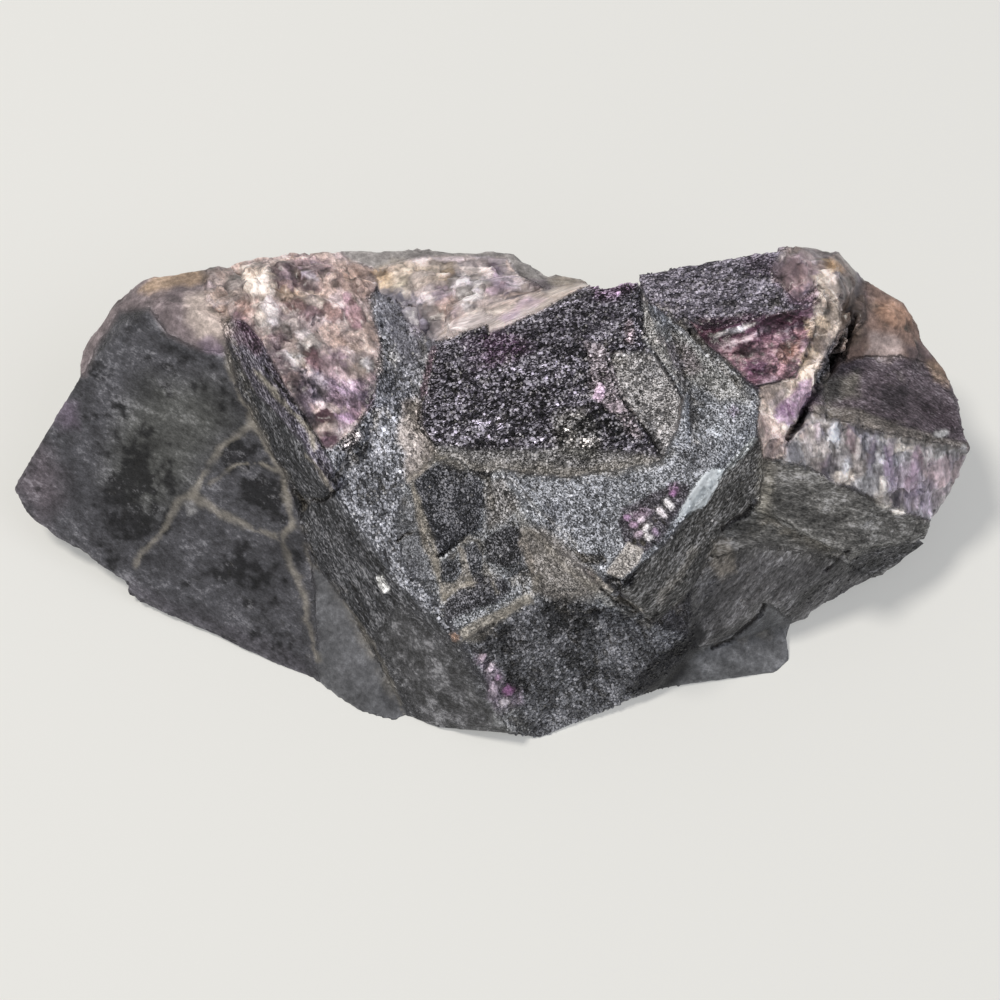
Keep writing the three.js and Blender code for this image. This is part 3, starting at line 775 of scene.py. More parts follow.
    "frontSteel": makePatch("steel", 0.4, 2, [94, 8, 176, 16, 188, -47, 157, -78, 94, -55]),
    "frontGrain": makePatch("slate", 0.4, 0.8, [
        257, 41, 298, 86, 338, 119, 352, 94, 323, 53, 298, 35,
    ], ragged=1.2),
    "slopeOchre": makePatch("#8b887e", 0.5, 0.8, [
        232, 295, 314, 243, 385, 181, 396, 157, 345, 154, 298, 188, 257, 232,
    ]),
    "slopeLine": makePatch("#948e84", 0.55, 0.4, [
        221, 327, 236, 311, 245, 267, 264, 232, 298, 181, 289, 160, 264, 201, 232, 243,
    ]),
    "slopePink": makePatch("mauve", 0.4, 0.8, [251, 251, 298, 239, 317, 207, 286, 195]),
    "frontBlueA": makePatch("#c3c9d2", 0.6, 0.3, [323, 110, 339, 119, 352, 104, 339, 91], rise=0.3),
    "frontBlueB": makePatch("#a79ab3", 0.55, 0.3, [358, 138, 371, 151, 377, 138, 366, 126]),
    "brokenStrip": makePatch("#3a333c", 0.85, 0.3, [
        187, -13, 220, 3, 264, 17, 292, 25, 300, 6, 278, -31, 243, -75, 220, -88, 192, -71,
    ], speck=0.7),
    "brokenLilac": makePatch("#a58aa2", 0.4, 0.3, [201, -19, 220, -9, 236, -19, 220, -31]),
    "brokenMagenta": makePatch("#b48fb4", 0.6, 0.25, [262, 22, 278, 28, 281, 9, 268, 5]),
    "chipFacet": makePatch("#a39e9a", 0.9, 0.15, [
        165, -116, 201, -64, 225, -77, 220, -99, 193, -124,
    ], rise=0.35, ragged=0.15, speck=0.6),
    # Painted shade in a sunken hole under the chip facet
    "chipHoleShade": makePatch("ink", 0.9, 0.2, [
        165, -119, 193, -126, 214, -115, 210, -135, 185, -144, 165, -130,
    ], rise=-1.2, ragged=0.3),
    # Painted shade along the low step at the front crystal's edge, over a shallow dent
    "edgeStepShade": makePatch("ink", 0.85, 0.2, [
        111, -75, 132, -86, 160, -86, 170, -99, 151, -107, 126, -99,
    ], rise=-0.7, ragged=0.4),
    "lowerRim": makePatch("ash", 0.7, 0.25, [
        138, -107, 166, -135, 198, -159, 223, -176, 207, -177, 157, -143,
    ]),
    # Painted highlight: the bright reflection along the front crystal's edge, with greyer lines across it
    "frontHighlight": makePatch("#e3e9ed", 1, 0.12, [
        278, -35, 287, -9, 312, 31, 331, 49, 353, 49, 341, 22, 323, -8, 298, -20,
    ], rise=0.15, ragged=0.15, speck=0),
    "highlightLineA": makePatch("#8f979e", 0.7, 0.1, [
        289, -25, 301, -3, 320, 22, 327, 20, 308, -6, 295, -28,
    ], ragged=0.1),
    "highlightLineB": makePatch("#a9b1b7", 0.6, 0.1, [314, 2, 333, 31, 339, 31, 320, -2], ragged=0.1),
    "frontBevel": makePatch("#c4c8c9", 0.85, 0.15, [349, 38, 358, 57, 397, 99, 405, 96, 380, 66], ragged=0.1),
    "sidePale": makePatch("ash", 0.4, 0.5, [243, -157, 264, -126, 301, -71, 314, -71, 283, -126, 254, -163]),
    "upperPlum": makePatch("#4d3e50", 0.5, 0.8, [383, 386, 432, 389, 430, 352, 389, 349]),
    "upperWine": makePatch("#704f64", 0.6, 0.7, [446, 339, 493, 330, 493, 301, 452, 308]),
    "upperAmber": makePatch("#c4a57c", 0.7, 0.5, [502, 380, 524, 383, 534, 361, 515, 352]),
    "upperCream": makePatch("#b5a8a0", 0.6, 0.8, [471, 352, 506, 361, 521, 314, 502, 314, 480, 333]),
    "upperRose": makePatch("#97838c", 0.7, 1, [424, 374, 471, 385, 499, 364, 496, 314, 463, 320, 432, 338]),
    "maroonTop": makePatch("#45283c", 0.85, 0.4, [
        303, 286, 345, 289, 408, 292, 484, 300, 480, 279, 455, 264, 416, 251, 377, 236, 338, 243, 314, 264,
    ]),
    # Painted highlight: a bright reflection on the maroon chips
    "maroonHighlight": makePatch("#e2dfe0", 0.95, 0.12, [
        333, 261, 358, 268, 383, 276, 405, 278, 385, 267, 361, 261, 339, 254,
    ], rise=0.3, ragged=0.25),
    "maroonRose": makePatch("#7f6470", 0.7, 0.6, [
        374, 232, 455, 257, 487, 273, 484, 243, 458, 214, 408, 220,
    ]),
    "maroonGlow": makePatch("#ab8a7b", 0.6, 0.6, [436, 242, 474, 248, 465, 220, 440, 214]),
    "maroonPlum": makePatch("#5f3f59", 0.75, 0.5, [361, 217, 408, 223, 424, 198, 405, 177, 380, 199]),
    # Painted highlight: a thin pale reflection line
    "highlightThin": makePatch("#b7a3ad", 0.7, 0.12, [
        339, 243, 371, 254, 405, 267, 433, 273, 408, 259, 374, 248, 345, 237,
    ], ragged=0.5),
    "gapBrown": makePatch("#5a4e4b", 0.75, 0.5, [
        543, 314, 568, 320, 575, 267, 550, 232, 528, 201, 512, 188, 521, 232, 537, 267,
    ], rise=0.35),
    "ribTop": makePatch("#ddd0c4", 0.9, 0.4, [
        495, 352, 515, 361, 531, 330, 534, 295, 512, 286, 490, 295, 496, 327,
    ]),
    "ribMid": makePatch("#c9b8a2", 0.85, 0.4, [
        471, 286, 512, 295, 524, 270, 499, 226, 471, 195, 468, 210, 490, 243,
    ]),
    "rightOliveTop": makePatch("#77695e", 0.6, 0.7, [
        531, 317, 565, 330, 575, 283, 559, 243, 537, 236, 534, 275,
    ]),
    "ribGrey": makePatch("#8b8280", 0.75, 0.3, [410, 176, 463, 188, 455, 163, 440, 148, 421, 152]),
    "ribLilac": makePatch("#bda4bf", 0.85, 0.19, [
        471, 188, 491, 192, 490, 163, 471, 135, 455, 115, 433, 126, 430, 144, 446, 160, 455, 166,
    ], ragged=0.4),
    "ribMagenta": makePatch("#9d76a4", 0.6, 0.4, [436, 141, 455, 154, 465, 141, 452, 126]),
    "ribFoot": makePatch("#c2ada7", 0.7, 0.5, [410, 144, 427, 129, 449, 107, 449, 71, 418, 68, 407, 110]),
    "rightPale": makePatch("#b3a4a2", 0.75, 0.9, [
        576, 257, 597, 262, 622, 251, 628, 232, 609, 223, 575, 226,
    ], ragged=1.3),
    "rightGlow": makePatch("#b08a72", 0.5, 0.9, [584, 314, 620, 317, 647, 295, 636, 270, 597, 275]),
    "rightCap": makePatch("#5e5459", 0.75, 0.7, [
        628, 242, 661, 250, 691, 229, 672, 214, 637, 226,
    ], ragged=1.2),
    "rightTan": makePatch("#a8927f", 0.6, 0.5, [669, 217, 694, 214, 710, 179, 678, 190]),
    "rightBrown": makePatch("brown", 0.6, 0.4, [546, 243, 575, 254, 571, 223, 540, 218]),
    "rightDarkA": makePatch("#5b504e", 0.5, 0.4, [565, 352, 587, 342, 578, 267, 568, 243, 565, 298]),
    "rightOlive": makePatch("olive", 0.6, 0.9, [509, 192, 565, 204, 562, 163, 506, 157]),
    "rightInkA": makePatch("ink", 0.5, 0.8, [593, 176, 637, 188, 631, 138, 597, 148], ragged=1.2),
    "rightInkB": makePatch("#352a32", 0.5, 0.7, [656, 154, 714, 144, 716, 110, 666, 122], ragged=1.2),
    "rightLedge": makePatch("#78736d", 0.75, 0.4, [
        490, 151, 565, 144, 636, 113, 735, 89, 735, 75, 628, 91, 550, 115, 490, 135,
    ], rise=0.4, ragged=0.3),
    "columnPink": makePatch("#b1a1ad", 0.6, 1, [597, 44, 732, 75, 722, 28, 678, -25, 620, -11]),
    "columnDark": makePatch("#5b5560", 0.5, 0.6, [490, 60, 534, 71, 531, 31, 495, 44]),
    "slopePale": makePatch("#918c80", 0.5, 0.9, [407, 75, 427, 66, 424, -31, 408, -41, 403, 31]),
    "slopeBrown": makePatch("#867e73", 0.55, 0.6, [
        330, -66, 361, -63, 371, -110, 345, -124, 327, -104,
    ], rise=0.3),
    "slopeInk": makePool(0.35, 1, [
        243, -181, 298, -151, 317, -157, 314, -220, 283, -214, 254, -220,
    ], ragged=1.5),
    # Painted shadow under the overhang, in the darkest grey, over a shallow dent
    "undercutShadow": makePatch("shadowDark", 0.9, 0.5, [
        550, -88, 597, -74, 667, -55, 678, -71, 628, -97, 589, -118, 550, -121,
    ], rise=-0.5, swept=True),
    "toeShade": makePatch("ink", 0.9, 0.7, [
        198, -298, 236, -253, 283, -221, 308, -185, 327, -210, 305, -246, 276, -286, 243, -314,
    ], speck=0.25, swept=True),
    "whiteFleck": makePatch("#e4e4e4", 0.95, 0.15, [
        -195, -121, -184, -119, -179, -130, -173, -141, -181, -148, -190, -137,
    ], rise=0.4, ragged=0.1),
    "orangeFleck": makePatch("#c3a08c", 0.9, 0.2, [
        -78, -210, -68, -209, -64, -220, -74, -223,
    ], rise=0.3, ragged=0.1),
    "leftGlint": makePatch("silver", 0.6, 0.3, [-496, -6, -480, -3, -477, -19, -491, -24], ragged=0.3),
}

# Chips and columns on the broken parts: middle, half widths, turn in degrees, rise and colour
chips = {
    "cornerA": makeChip(22.1, -3, 0.8, 0.6, 20, 0.5, "#c9bcc9"),
    "cornerB": makeChip(20.9, -3.8, 0.8, 0.6, -30, 0.4, "#a48aa3"),
    "cornerC": makeChip(22.8, -4.4, 0.9, 0.6, 50, 0.7, "#f0ecf0"),
    "cornerD": makeChip(21.7, -5.3, 0.8, 0.6, 10, 0.5, "#b9a9b8"),
    "cornerE": makeChip(23.2, -5.8, 0.9, 0.6, -35, 0.7, "#f2eef1"),
    "cornerF": makeChip(24.3, -5, 0.8, 0.5, -60, 0.5, "#94839a"),
    # Painted shade: the dark chips that sink, cornerG to cornerI and cornerL and cornerM, are shade in the
    # gaps between chips
    "cornerG": makeChip(22.3, -6.6, 0.8, 0.5, -40, -0.8, "ink"),
    "cornerH": makeChip(24.2, -6.8, 0.8, 0.3, -45, -0.8, "ink"),
    "cornerI": makeChip(20.9, -6.4, 0.5, 0.8, 10, -0.8, "ink"),
    "cornerJ": makeChip(25.3, -2, 1.1, 0.6, -45, 0.6, "#ece6ec"),
    "cornerK": makeChip(26.5, -0.8, 1.1, 0.6, -45, 0.6, "#f7f4f8"),
    "cornerL": makeChip(24.2, -3, 0.9, 0.3, -45, -0.5, "#2c2430"),
    "cornerM": makeChip(25.7, -3.5, 0.9, 0.3, -45, -0.8, "ink"),
    "cornerN": makeChip(27.2, 0.9, 0.6, 0.6, -60, 0.4, "#a57aa6"),
    "cornerO": makeChip(19.9, -2.7, 0.6, 0.5, 10, 0.3, "#8f7492"),
    "cornerP": makeChip(23.2, -1.6, 0.8, 0.3, -40, 0.3, "#9b8fa0"),
    "violetA": makeChip(-2.7, -24.6, 0.6, 0.6, 30, 0.4, "#c7b5c4"),
    "violetB": makeChip(-1.3, -26.4, 0.5, 0.9, -20, 0.5, "#cabfcb"),
    "violetC": makeChip(1.3, -29.8, 1.1, 0.8, 40, 0.3, "#8a5c86"),
    "violetD": makeChip(-0.9, -29.8, 0.8, 1.1, -15, 0.4, "#bcaebd"),
    "violetE": makeChip(0.6, -31.7, 0.9, 0.6, 20, 0.4, "#d0c8d0"),
    "violetF": makeChip(-0.3, -27.9, 0.6, 0.5, 60, 0.2, "#a68ca6"),
    "columnA": makeChip(47.9, 11, 0.8, 1.9, -15, 0.6, "#cfc8c9"),
    "columnB": makeChip(49.9, 11, 0.6, 1.9, -5, 0.5, "#b9b4bf"),
    "columnC": makeChip(52.4, 10.7, 0.9, 2, 0, 0.6, "#c9cdd6"),
    "columnD": makeChip(55, 9.7, 0.8, 2, 5, 0.5, "#a3969f"),
    "columnE": makeChip(56.2, 8.2, 0.6, 2.8, -5, 0.7, "#cfccd0"),
    "columnF": makeChip(58.4, 7.1, 0.6, 2.8, -10, 0.5, "#8f8893"),
    "columnG": makeChip(54.3, 5, 0.8, 2.2, -10, 0.6, "#c1c4cc"),
    "columnH": makeChip(61.2, 6, 0.9, 3.1, -10, 0.6, "#a899a9"),
    "columnI": makeChip(65.2, 4.7, 1.1, 3.5, -12, 0.6, "#a5939f"),
    "columnJ": makeChip(69.4, 4.1, 1.3, 3.1, -25, 0.5, "#b8aab2"),
    "columnK": makeChip(51.2, 5.7, 0.6, 1.9, -15, 0.4, "#86808b"),
    "glintA": makeChip(53.7, 3.5, 1.7, 0.9, 10, 0.5, "white"),
    "glintB": makeChip(60.4, 0, 1.6, 1.1, -30, 0.5, "white"),
    "glintC": makeChip(63.7, 8, 1.7, 0.8, -5, 0.4, "white"),
    "glintD": makeChip(62.6, -1.6, 1.1, 0.6, 0, 0.4, "white"),
    "glintE": makeChip(60.3, 2.2, 0.8, 1.1, 0, 0.4, "white"),
    "glintF": makeChip(69.2, 10.5, 1.3, 0.6, 15, 0.3, "silver"),
    "glintG": makeChip(72.8, 7.8, 0.5, 0.9, 0, 0.3, "silver"),
    "glintH": makeChip(45.1, 6.1, 1.1, 0.6, 0, 0.3, "silver"),
    "footBulge": makeChip(61.7, 29.5, 3.1, 2.5, 0, 0.6, None),
}

# Lines of pale dust, with half width, cover and path, and cracks, with half width, depth and path, dented and
# painted dark as their shade
dustLines = {
    "leftA": makeLine(0.8, 0.65, [
        -573, -97, -548, -66, -526, -38, -504, -5, -477, 17, -465, 41, -449, 66, -427, 94, -394, 116,
    ]),
    "leftB": makeLine(0.8, 0.65, [-477, 8, -449, -19, -416, -36, -383, -49, -350, -60, -325, -41]),
    "leftC": makeLine(0.5, 0.65, [-458, 25, -427, 42, -405, 53, -380, 58, -350, 44]),
    "leftEdge": makeLine(0.7, 0.65, [
        -433, 251, -416, 193, -394, 132, -361, 77, -339, 39, -328, -5, -322, -33, -341, -63, -325, -104,
        -306, -148, -301, -192, -286, -251,
    ]),
    "footEdge": makeLine(0.4, 0.55, [-243, -157, -201, -228, -170, -283, -149, -338]),
    "mosaicD": makeLine(0.8, 0.45, [19, -8, 47, -47, 94, -94, 157, -151, 232, -195]),
    "seamA": makeLine(0.55, 0.8, [-140, 25, -126, -16, -113, -63, -100, -88, -93, -129, -88, -157]),
    "seamB": makeLine(0.4, 0.75, [-83, -88, -52, -57, -35, -63, -25, -94, -13, -129, -6, -141]),
    "seamC": makeLine(0.45, 0.75, [-93, -157, -66, -141, -41, -126]),
    "seamD": makeLine(0.5, 0.6, [-146, 31, -116, 50, -83, 64]),
    "seamE": makeLine(0.8, 0.65, [-63, -223, -16, -201, 44, -157, 63, -118]),
    "centreFoot": makeLine(1.2, 0.5, [-94, 63, 0, 50, 94, 41, 188, 50, 257, 60]),
    "ridgeA": makeLine(0.5, 1.2, [-380, 201, -352, 170, -330, 144, -314, 122, -289, 82]),
    "ridgeB": makeLine(0.45, 1.1, [-301, 75, -286, 53, -270, 28, -262, 16]),
    "frontRim": makeLine(0.4, 0.4, [8, 44, 63, -19, 118, -71]),
}
cracks = {
    "ribGap": makeLine(0.5, 1.6, [559, 289, 543, 259, 524, 226, 509, 192, 490, 160, 471, 126, 454, 97]),
    "mosaicA": makeLine(0.3, 0.7, [-163, -64, -151, -53, -138, -49]),
    "mosaicB": makeLine(0.3, 0.8, [-97, -89, -75, -74, -50, -53]),
    "frontGroove": makeLine(0.25, 0.6, [157, -141, 181, -160, 207, -177, 236, -193, 248, -179]),
    "slopeCrack": makeLine(0.4, 0.9, [349, -46, 364, -33, 385, -25, 403, -3]),
    "ribCrack": makeLine(0.22, 0.4, [403, 179, 440, 187, 463, 195, 484, 232, 496, 273]),
    "centreEdge": makeLine(0.25, 0.5, [220, 330, 226, 267, 245, 226, 270, 188, 286, 160]),
    "centreCut": makeLine(0.28, 0.5, [166, 226, 179, 185, 195, 151, 226, 113, 257, 68]),
    "centreNotch": makeLine(0.2, 0.4, [137, 232, 141, 207, 144, 187]),
    "centreLow": makeLine(0.2, 0.4, [195, 138, 207, 97]),
    "topNotch": makeLine(0.25, 0.5, [-20, 275, -19, 259]),
    "cornerLeft": makeLine(0.25, 0.4, [-129, 126, -119, 105, -97, 82]),
    "toeCrack": makeLine(0.35, 0.7, [333, -232, 364, -220, 392, -195, 411, -179, 416, -166]),
    "footCrack": makeLine(0.25, 0.5, [512, -113, 528, -100, 534, -88, 550, -80]),
    "bandNotch": makeLine(0.35, 0.6, [-295, 0, -279, -3, -261, 13]),
    "bandLedge": makeLine(0.3, 0.6, [-372, 210, -342, 176, -319, 148, -303, 124, -279, 85]),
    "bandStep": makeLine(0.25, 0.45, [-292, 75, -276, 53, -261, 28, -254, 16]),
}


# How the edges of zones, patches, chips and dust lines wander: a noise of this size, in mm
wander = {
    "size": 3.5,
    "octaves": 4,
    "zoneSeed": 5,
    "patchSeed": 9,
    "dustSeed": 14,
    "seedStep": 50,
    "chipShare": 0.4,
}
# Below, a pair of numbers named as a step is where it begins and where it is full
sorting = {
    "facingStep": (0.02, 0.2),
    "sure": 0.6,  # the weight from which a point shows how its zone lies
    "enough": 40,  # points
    "unclear": (0.1, 0.2, 1.0),  # how a zone lies that has too few of them
}
# Blocks of broken faces lean, and those of crystal faces have a groove round them, in shares of their rise
blockShape = {"rise": 1.0, "lean": 0.5, "groove": 0.3, "grooveWide": 0.3}
brokenShape = {"rise": 0.6, "lean": 1.0, "groove": 0.0, "grooveWide": 0.3}


def frontMap(points):  # where each point is seen from the front
    shrink = 1 - points[:, 2] / growth["eye"]
    return points[:, 0] / shrink, points[:, 1] / shrink


def raggedMap(points, seed):  # the front map, and how its places wander, for ragged edges
    seeds = (seed, seed + wander["seedStep"])
    return *frontMap(points), *(roughNoise(points, wander["size"], own, wander["octaves"]) for own in seeds)


def coverOf(where, place, blur=0.0):  # 1 inside the outline of a zone or a patch, 0 outside
    x, y, wanderX, wanderY = where
    outline, ragged, soft = place["outline"], place["ragged"], place["soft"] + blur
    (lowX, lowY), (highX, highY) = outline.min(0), outline.max(0)
    margin = soft + 3 * ragged
    within = (x > lowX - margin) & (x < highX + margin) & (y > lowY - margin) & (y < highY + margin)
    near = np.flatnonzero(within)
    inside = edgeDistance(x[near] + ragged * wanderX[near], y[near] + ragged * wanderY[near], outline, True)
    cover = np.zeros(len(x))
    cover[near] = smoothStep(inside, -soft, soft)
    return cover


def lineCover(x, y, line, inner, outer, thickness=1.0):  # 1 on a line, 0 beyond, in shares of its half width
    distance = edgeDistance(x, y, line["path"], False) / thickness
    return 1 - smoothStep(distance, line["wide"] * inner, line["wide"] * outer)


def chipPlace(where, chip):  # how far along and across a chip each point is, from -1 to 1 on it
    x, y, wanderX, wanderY = where
    (middleX, middleY), (wide, tall) = chip["at"], chip["size"]
    ragged = wander["chipShare"] * min(wide, tall)
    dx, dy = x + ragged * wanderX - middleX, y + ragged * wanderY - middleY
    c, s = math.cos(chip["turn"]), math.sin(chip["turn"])
    return (dx * c + dy * s) / wide, (dy * c - dx * s) / tall


def chipCover(where, chip, square=2.6):  # 1 in a chip's middle, 0 on its squarish rim and less beyond
    u, v = chipPlace(where, chip)
    return 1 - (np.abs(u) ** square + np.abs(v) ** square) ** (1 / square)


def crystalAxes(run, normal):  # along, across and out of a crystal's face
    out = normal / np.linalg.norm(normal)
    along = np.array([run[0], run[1], 0.0])
    along = along - out * (along @ out)
    along /= np.linalg.norm(along)
    return np.stack([along, np.cross(out, along), out])


def zoneWeights(points, normals):  # how far each zone, and the wild rest, owns each point
    where = raggedMap(points, wander["zoneSeed"])
    facing = smoothStep(normals[:, 2], *sorting["facingStep"])
    left = np.ones(len(points))
    weights = {}
    for name, zone in reversed(zones.items()):
        if name != "wild":
            own = coverOf(where, zone) * facing
            weights[name] = own * left
            left = left * (1 - own)
    weights["wild"] = left
    return weights


def zoneAxes(weights, normals):  # each zone's own crystal axes, from how its face lies
    axes = {}
    for name, weight in weights.items():
        chosen = weight > sorting["sure"]
        clear = chosen.sum() > sorting["enough"] and name != "wild"
        out = normals[chosen].mean(0) if clear else np.array(sorting["unclear"])
        axes[name] = crystalAxes(grainRuns[zones[name]["run"]], out)
    return axes


def hollowness(mesh, points, normals, rounds):  # above 0 in corners and pits, below 0 on edges, in mm
    return ((neighbourMean(mesh, points, rounds) - points) * normals).sum(1)


def stretchOf(kind):  # how far the grain is drawn out along its run
    return np.array([kind["stretch"], 1.0, 1.0])


def grainCoordinates(points, axes, kind):
    return points @ axes.T / stretchOf(kind)


def relief(points, axes, kind, seed):  # how high this kind of surface stands at each point
    own = grainCoordinates(points, axes, kind)
    size, rise = kind["swell"]
    height = rise * roughNoise(points, size, seed, 3)
    shape = brokenShape if kind["broken"] else blockShape
    for level, shift in (("blocks", 31), ("grain", 38)):
        size, rise = kind[level]
        offset, mark, edge = brokenCells(own, size, seed + shift, not kind["facets"])
        lean = (offset * (mark * 2 - 1)).sum(1) / size
        height += rise * (mark[:, 0] * 2 - 1) * shape["rise"] + rise * lean * shape["lean"]
        height -= shape["groove"] * rise * (1 - smoothStep(edge, 0, shape["grooveWide"] * size))
    return height


mesh = remeshedNode("fluorite_cluster", skin["voxel"])
points, normals = readPoints(mesh)
calm = calmNormals(mesh, normals, skin["calm"])
calmer = calmNormals(mesh, normals, skin["calmer"])
print("skin remeshed:", len(points), "points")

# Relief, in mm: each zone's own, then cracks, patches and chips on what faces the front, then worn edges
shaping = {
    "weightFrom": 0.01,
    "zoneSeed": (100, 13),  # the first zone's, and the step to the next
    "facingStep": (0.0, 0.15),
    "crackStep": (0.3, 1.3),  # in shares of the crack's half width
    "patchBlur": 0.15,
    "chipLean": 0.45,
    "chipTurn": 2.4,
    "chipStep": (0, 0.55),
    "edgeStep": (0.02, 0.12),  # where an edge counts as one, and wears
    "wear": (0.12, 0.3),  # on the whole edge, and more where it is knocked
    "knockNoise": (4, 77, 3),
    "knockStep": (0.1, 0.8),
    "highest": 1.5,
    "footStep": (0.2, 1.6),  # heights: the foot it rests on stays flat
}
weights = zoneWeights(points, calmer)
axes = zoneAxes(weights, calmer)
pit = hollowness(mesh, points, calm, skin["pitRounds"])
height = np.maximum(pit, 0)
firstSeed, seedStep = shaping["zoneSeed"]
for number, (name, weight) in enumerate(weights.items()):
    chosen = np.flatnonzero(weight > shaping["weightFrom"])
    if len(chosen):
        seed, kind = firstSeed + number * seedStep, kinds[zones[name]["kind"]]
        height[chosen] += weight[chosen] * relief(points[chosen], axes[name], kind, seed)
x, y = frontMap(points)
front = smoothStep(calmer[:, 2], *shaping["facingStep"])
for crack in cracks.values():
    height -= crack["amount"] * lineCover(x, y, crack, *shaping["crackStep"]) * front
where = raggedMap(points, wander["patchSeed"])
for patch in patches.values():
    if patch["rise"]:
        height += patch["rise"] * coverOf(where, patch, shaping["patchBlur"]) * front
for number, chip in enumerate(chips.values()):
    u, v = chipPlace(where, chip)
    downhill = number * shaping["chipTurn"]
    lean = 1 + shaping["chipLean"] * np.clip(u * math.cos(downhill) + v * math.sin(downhill), -1, 1)
    height += chip["rise"] * smoothStep(chipCover(where, chip), *shaping["chipStep"]) * lean * front
worn, knocked = shaping["wear"]
knocks = smoothStep(roughNoise(points, *shaping["knockNoise"]), *shaping["knockStep"])
height -= smoothStep(-pit, *shaping["edgeStep"]) * (worn + knocked * knocks)
height = np.minimum(height, shaping["highest"])
height *= smoothStep(rowPoints(points)[:, 2], *shaping["footStep"])
writePoints(mesh, points + calm * height[:, None])
print("relief raised")

thinning = addObject("thinning", mesh)
share = thinning.vertex_groups.new(name="thin")
facing = smoothStep(calmer[:, 2], *skin["thinStep"])
levels = skin["thinLevels"]
for level in range(levels + 1):
    some = np.flatnonzero(np.round(facing * levels).astype(int) == level)
    share.add(some.tolist(), 1 - skin["frontShare"] * level / levels, "REPLACE")
thin = thinning.modifiers.new("thin", "DECIMATE")
thin.ratio = skin["faces"] / sum(len(face.vertices) - 2 for face in mesh.polygons)
thin.vertex_group = "thin"
thin.vertex_group_factor = 1.0
thin.use_collapse_triangulate = True
mesh = evaluatedMesh(thinning)
bpy.data.objects.remove(thinning)
points, normals = readPoints(mesh)
print("skin thinned:", len(mesh.polygons), "faces")

calm = calmNormals(mesh, normals, skin["thinCalm"])
calmer = calmNormals(mesh, normals, skin["thinCalmer"])
weights = zoneWeights(points, calmer)
pitFine = hollowness(mesh, points, calm, skin["finePitRounds"])
pitWide = hollowness(mesh, points, calmer, skin["widePitRounds"])

# Each zone's colour and pattern at each point. A cleaved facet has one colour, so its points take theirs
# from near the facet's middle.
tint, contrast, turn, grainPlace = np.zeros((4, len(points), 3))
grain, broken, blotch, tones, mottled, strongest = np.zeros((6, len(points)))
snapped = points.copy()
facetSeed = 77
for name, weight in weights.items():
    zone = zones[name]
    kind = kinds[zone["kind"]]
    tint += weight[:, None] * np.array(linearColour(zone["colour"])[:3])
    contrast += weight[:, None] * np.array(kind["contrast"]) * zone["contrast"]
    grain += weight * kind["druse"]
    broken += weight * kind["broken"]
    blotch += weight * kind["blotch"]
    tones += weight * kind["tones"]
    mottled += weight * zone["mottle"]
    stronger = weight > strongest
    turn[stronger] = Matrix((leanArray @ axes[name].T).tolist()).to_euler()
    grainPlace[stronger] = grainCoordinates(points[stronger], axes[name], kind)
    snapped[stronger] = points[stronger]
    if kind["snap"]:
        size, share = kind["snap"]
        offset, mark, edge = brokenCells(grainPlace[stronger], size, facetSeed, True)
        snapped[stronger] -= share * (offset * stretchOf(kind)) @ axes[name]
    strongest = np.maximum(strongest, weight)


def paint(colour, cover):
    global tint
    tint = tint * (1 - cover[:, None]) + np.array(linearColour(colour)[:3]) * cover[:, None]


front = smoothStep(calmer[:, 2], *sorting["facingStep"])
wildTints = {  # the noise's size, seed, octaves and sign, where it begins and is full, and its cover
    "#464349": (22, 400, 4, 1, 0.05, 0.35, 1),
    "#a08f82": (22, 400, 4, -1, 0.3, 0.6, 0.7),
    "#84728a": (13, 401, 3, 1, 0.45, 0.8, 0.5),
}
for colour, (size, seed, octaves, sign, begins, full, most) in wildTints.items():
    drift = sign * roughNoise(points, size, seed, octaves)
    paint(colour, weights["wild"] * smoothStep(drift, begins, full) * most)

patchPaint = {
    "crispBelow": 0.2,  # a softer patch follows the facets, and a crisper one its own edge
    "lumpShadeFrom": 0.2,  # the rise of a lump that has painted shade round it
    "lumpShade": 1.8,
    "bare": 0.8,
}
busy = np.ones(len(points))
shade, swept = np.zeros((2, len(points)))
where, crispWhere = (raggedMap(places, wander["patchSeed"]) for places in (snapped, points))
for patch in patches.values():
    whole = coverOf(crispWhere if patch["soft"] < patchPaint["crispBelow"] else where, patch)
    cover = whole * patch["cover"] * front
    if patch["swept"]:  # painted shadow: no dust is painted over it
        swept = np.maximum(swept, cover)
    if patch["pool"]:
        shade = np.maximum(shade, cover)
    elif patch["colour"]:
        paint(patch["colour"], cover)
    # Painted shade in a ring round each raised lump on broken faces
    if patch["rise"] > patchPaint["lumpShadeFrom"]:
        tint *= (1 - patchPaint["lumpShade"] * whole * (1 - whole) * front * broken)[:, None]
    if patch["speck"] is not None:
        busy += (patch["speck"] - busy) * cover
        grain *= 1 - cover * max(0, 1 - patch["speck"]) * patchPaint["bare"]
chipPaint = {"step": (-0.2, 0.35), "cover": 0.9, "calm": 0.5, "bare": 0.85}
for chip in chips.values():
    if chip["colour"]:
        cover = smoothStep(chipCover(where, chip), *chipPaint["step"]) * front
        paint(chip["colour"], cover * chipPaint["cover"])
        busy *= 1 - cover * chipPaint["calm"]
        grain *= 1 - cover * chipPaint["bare"]

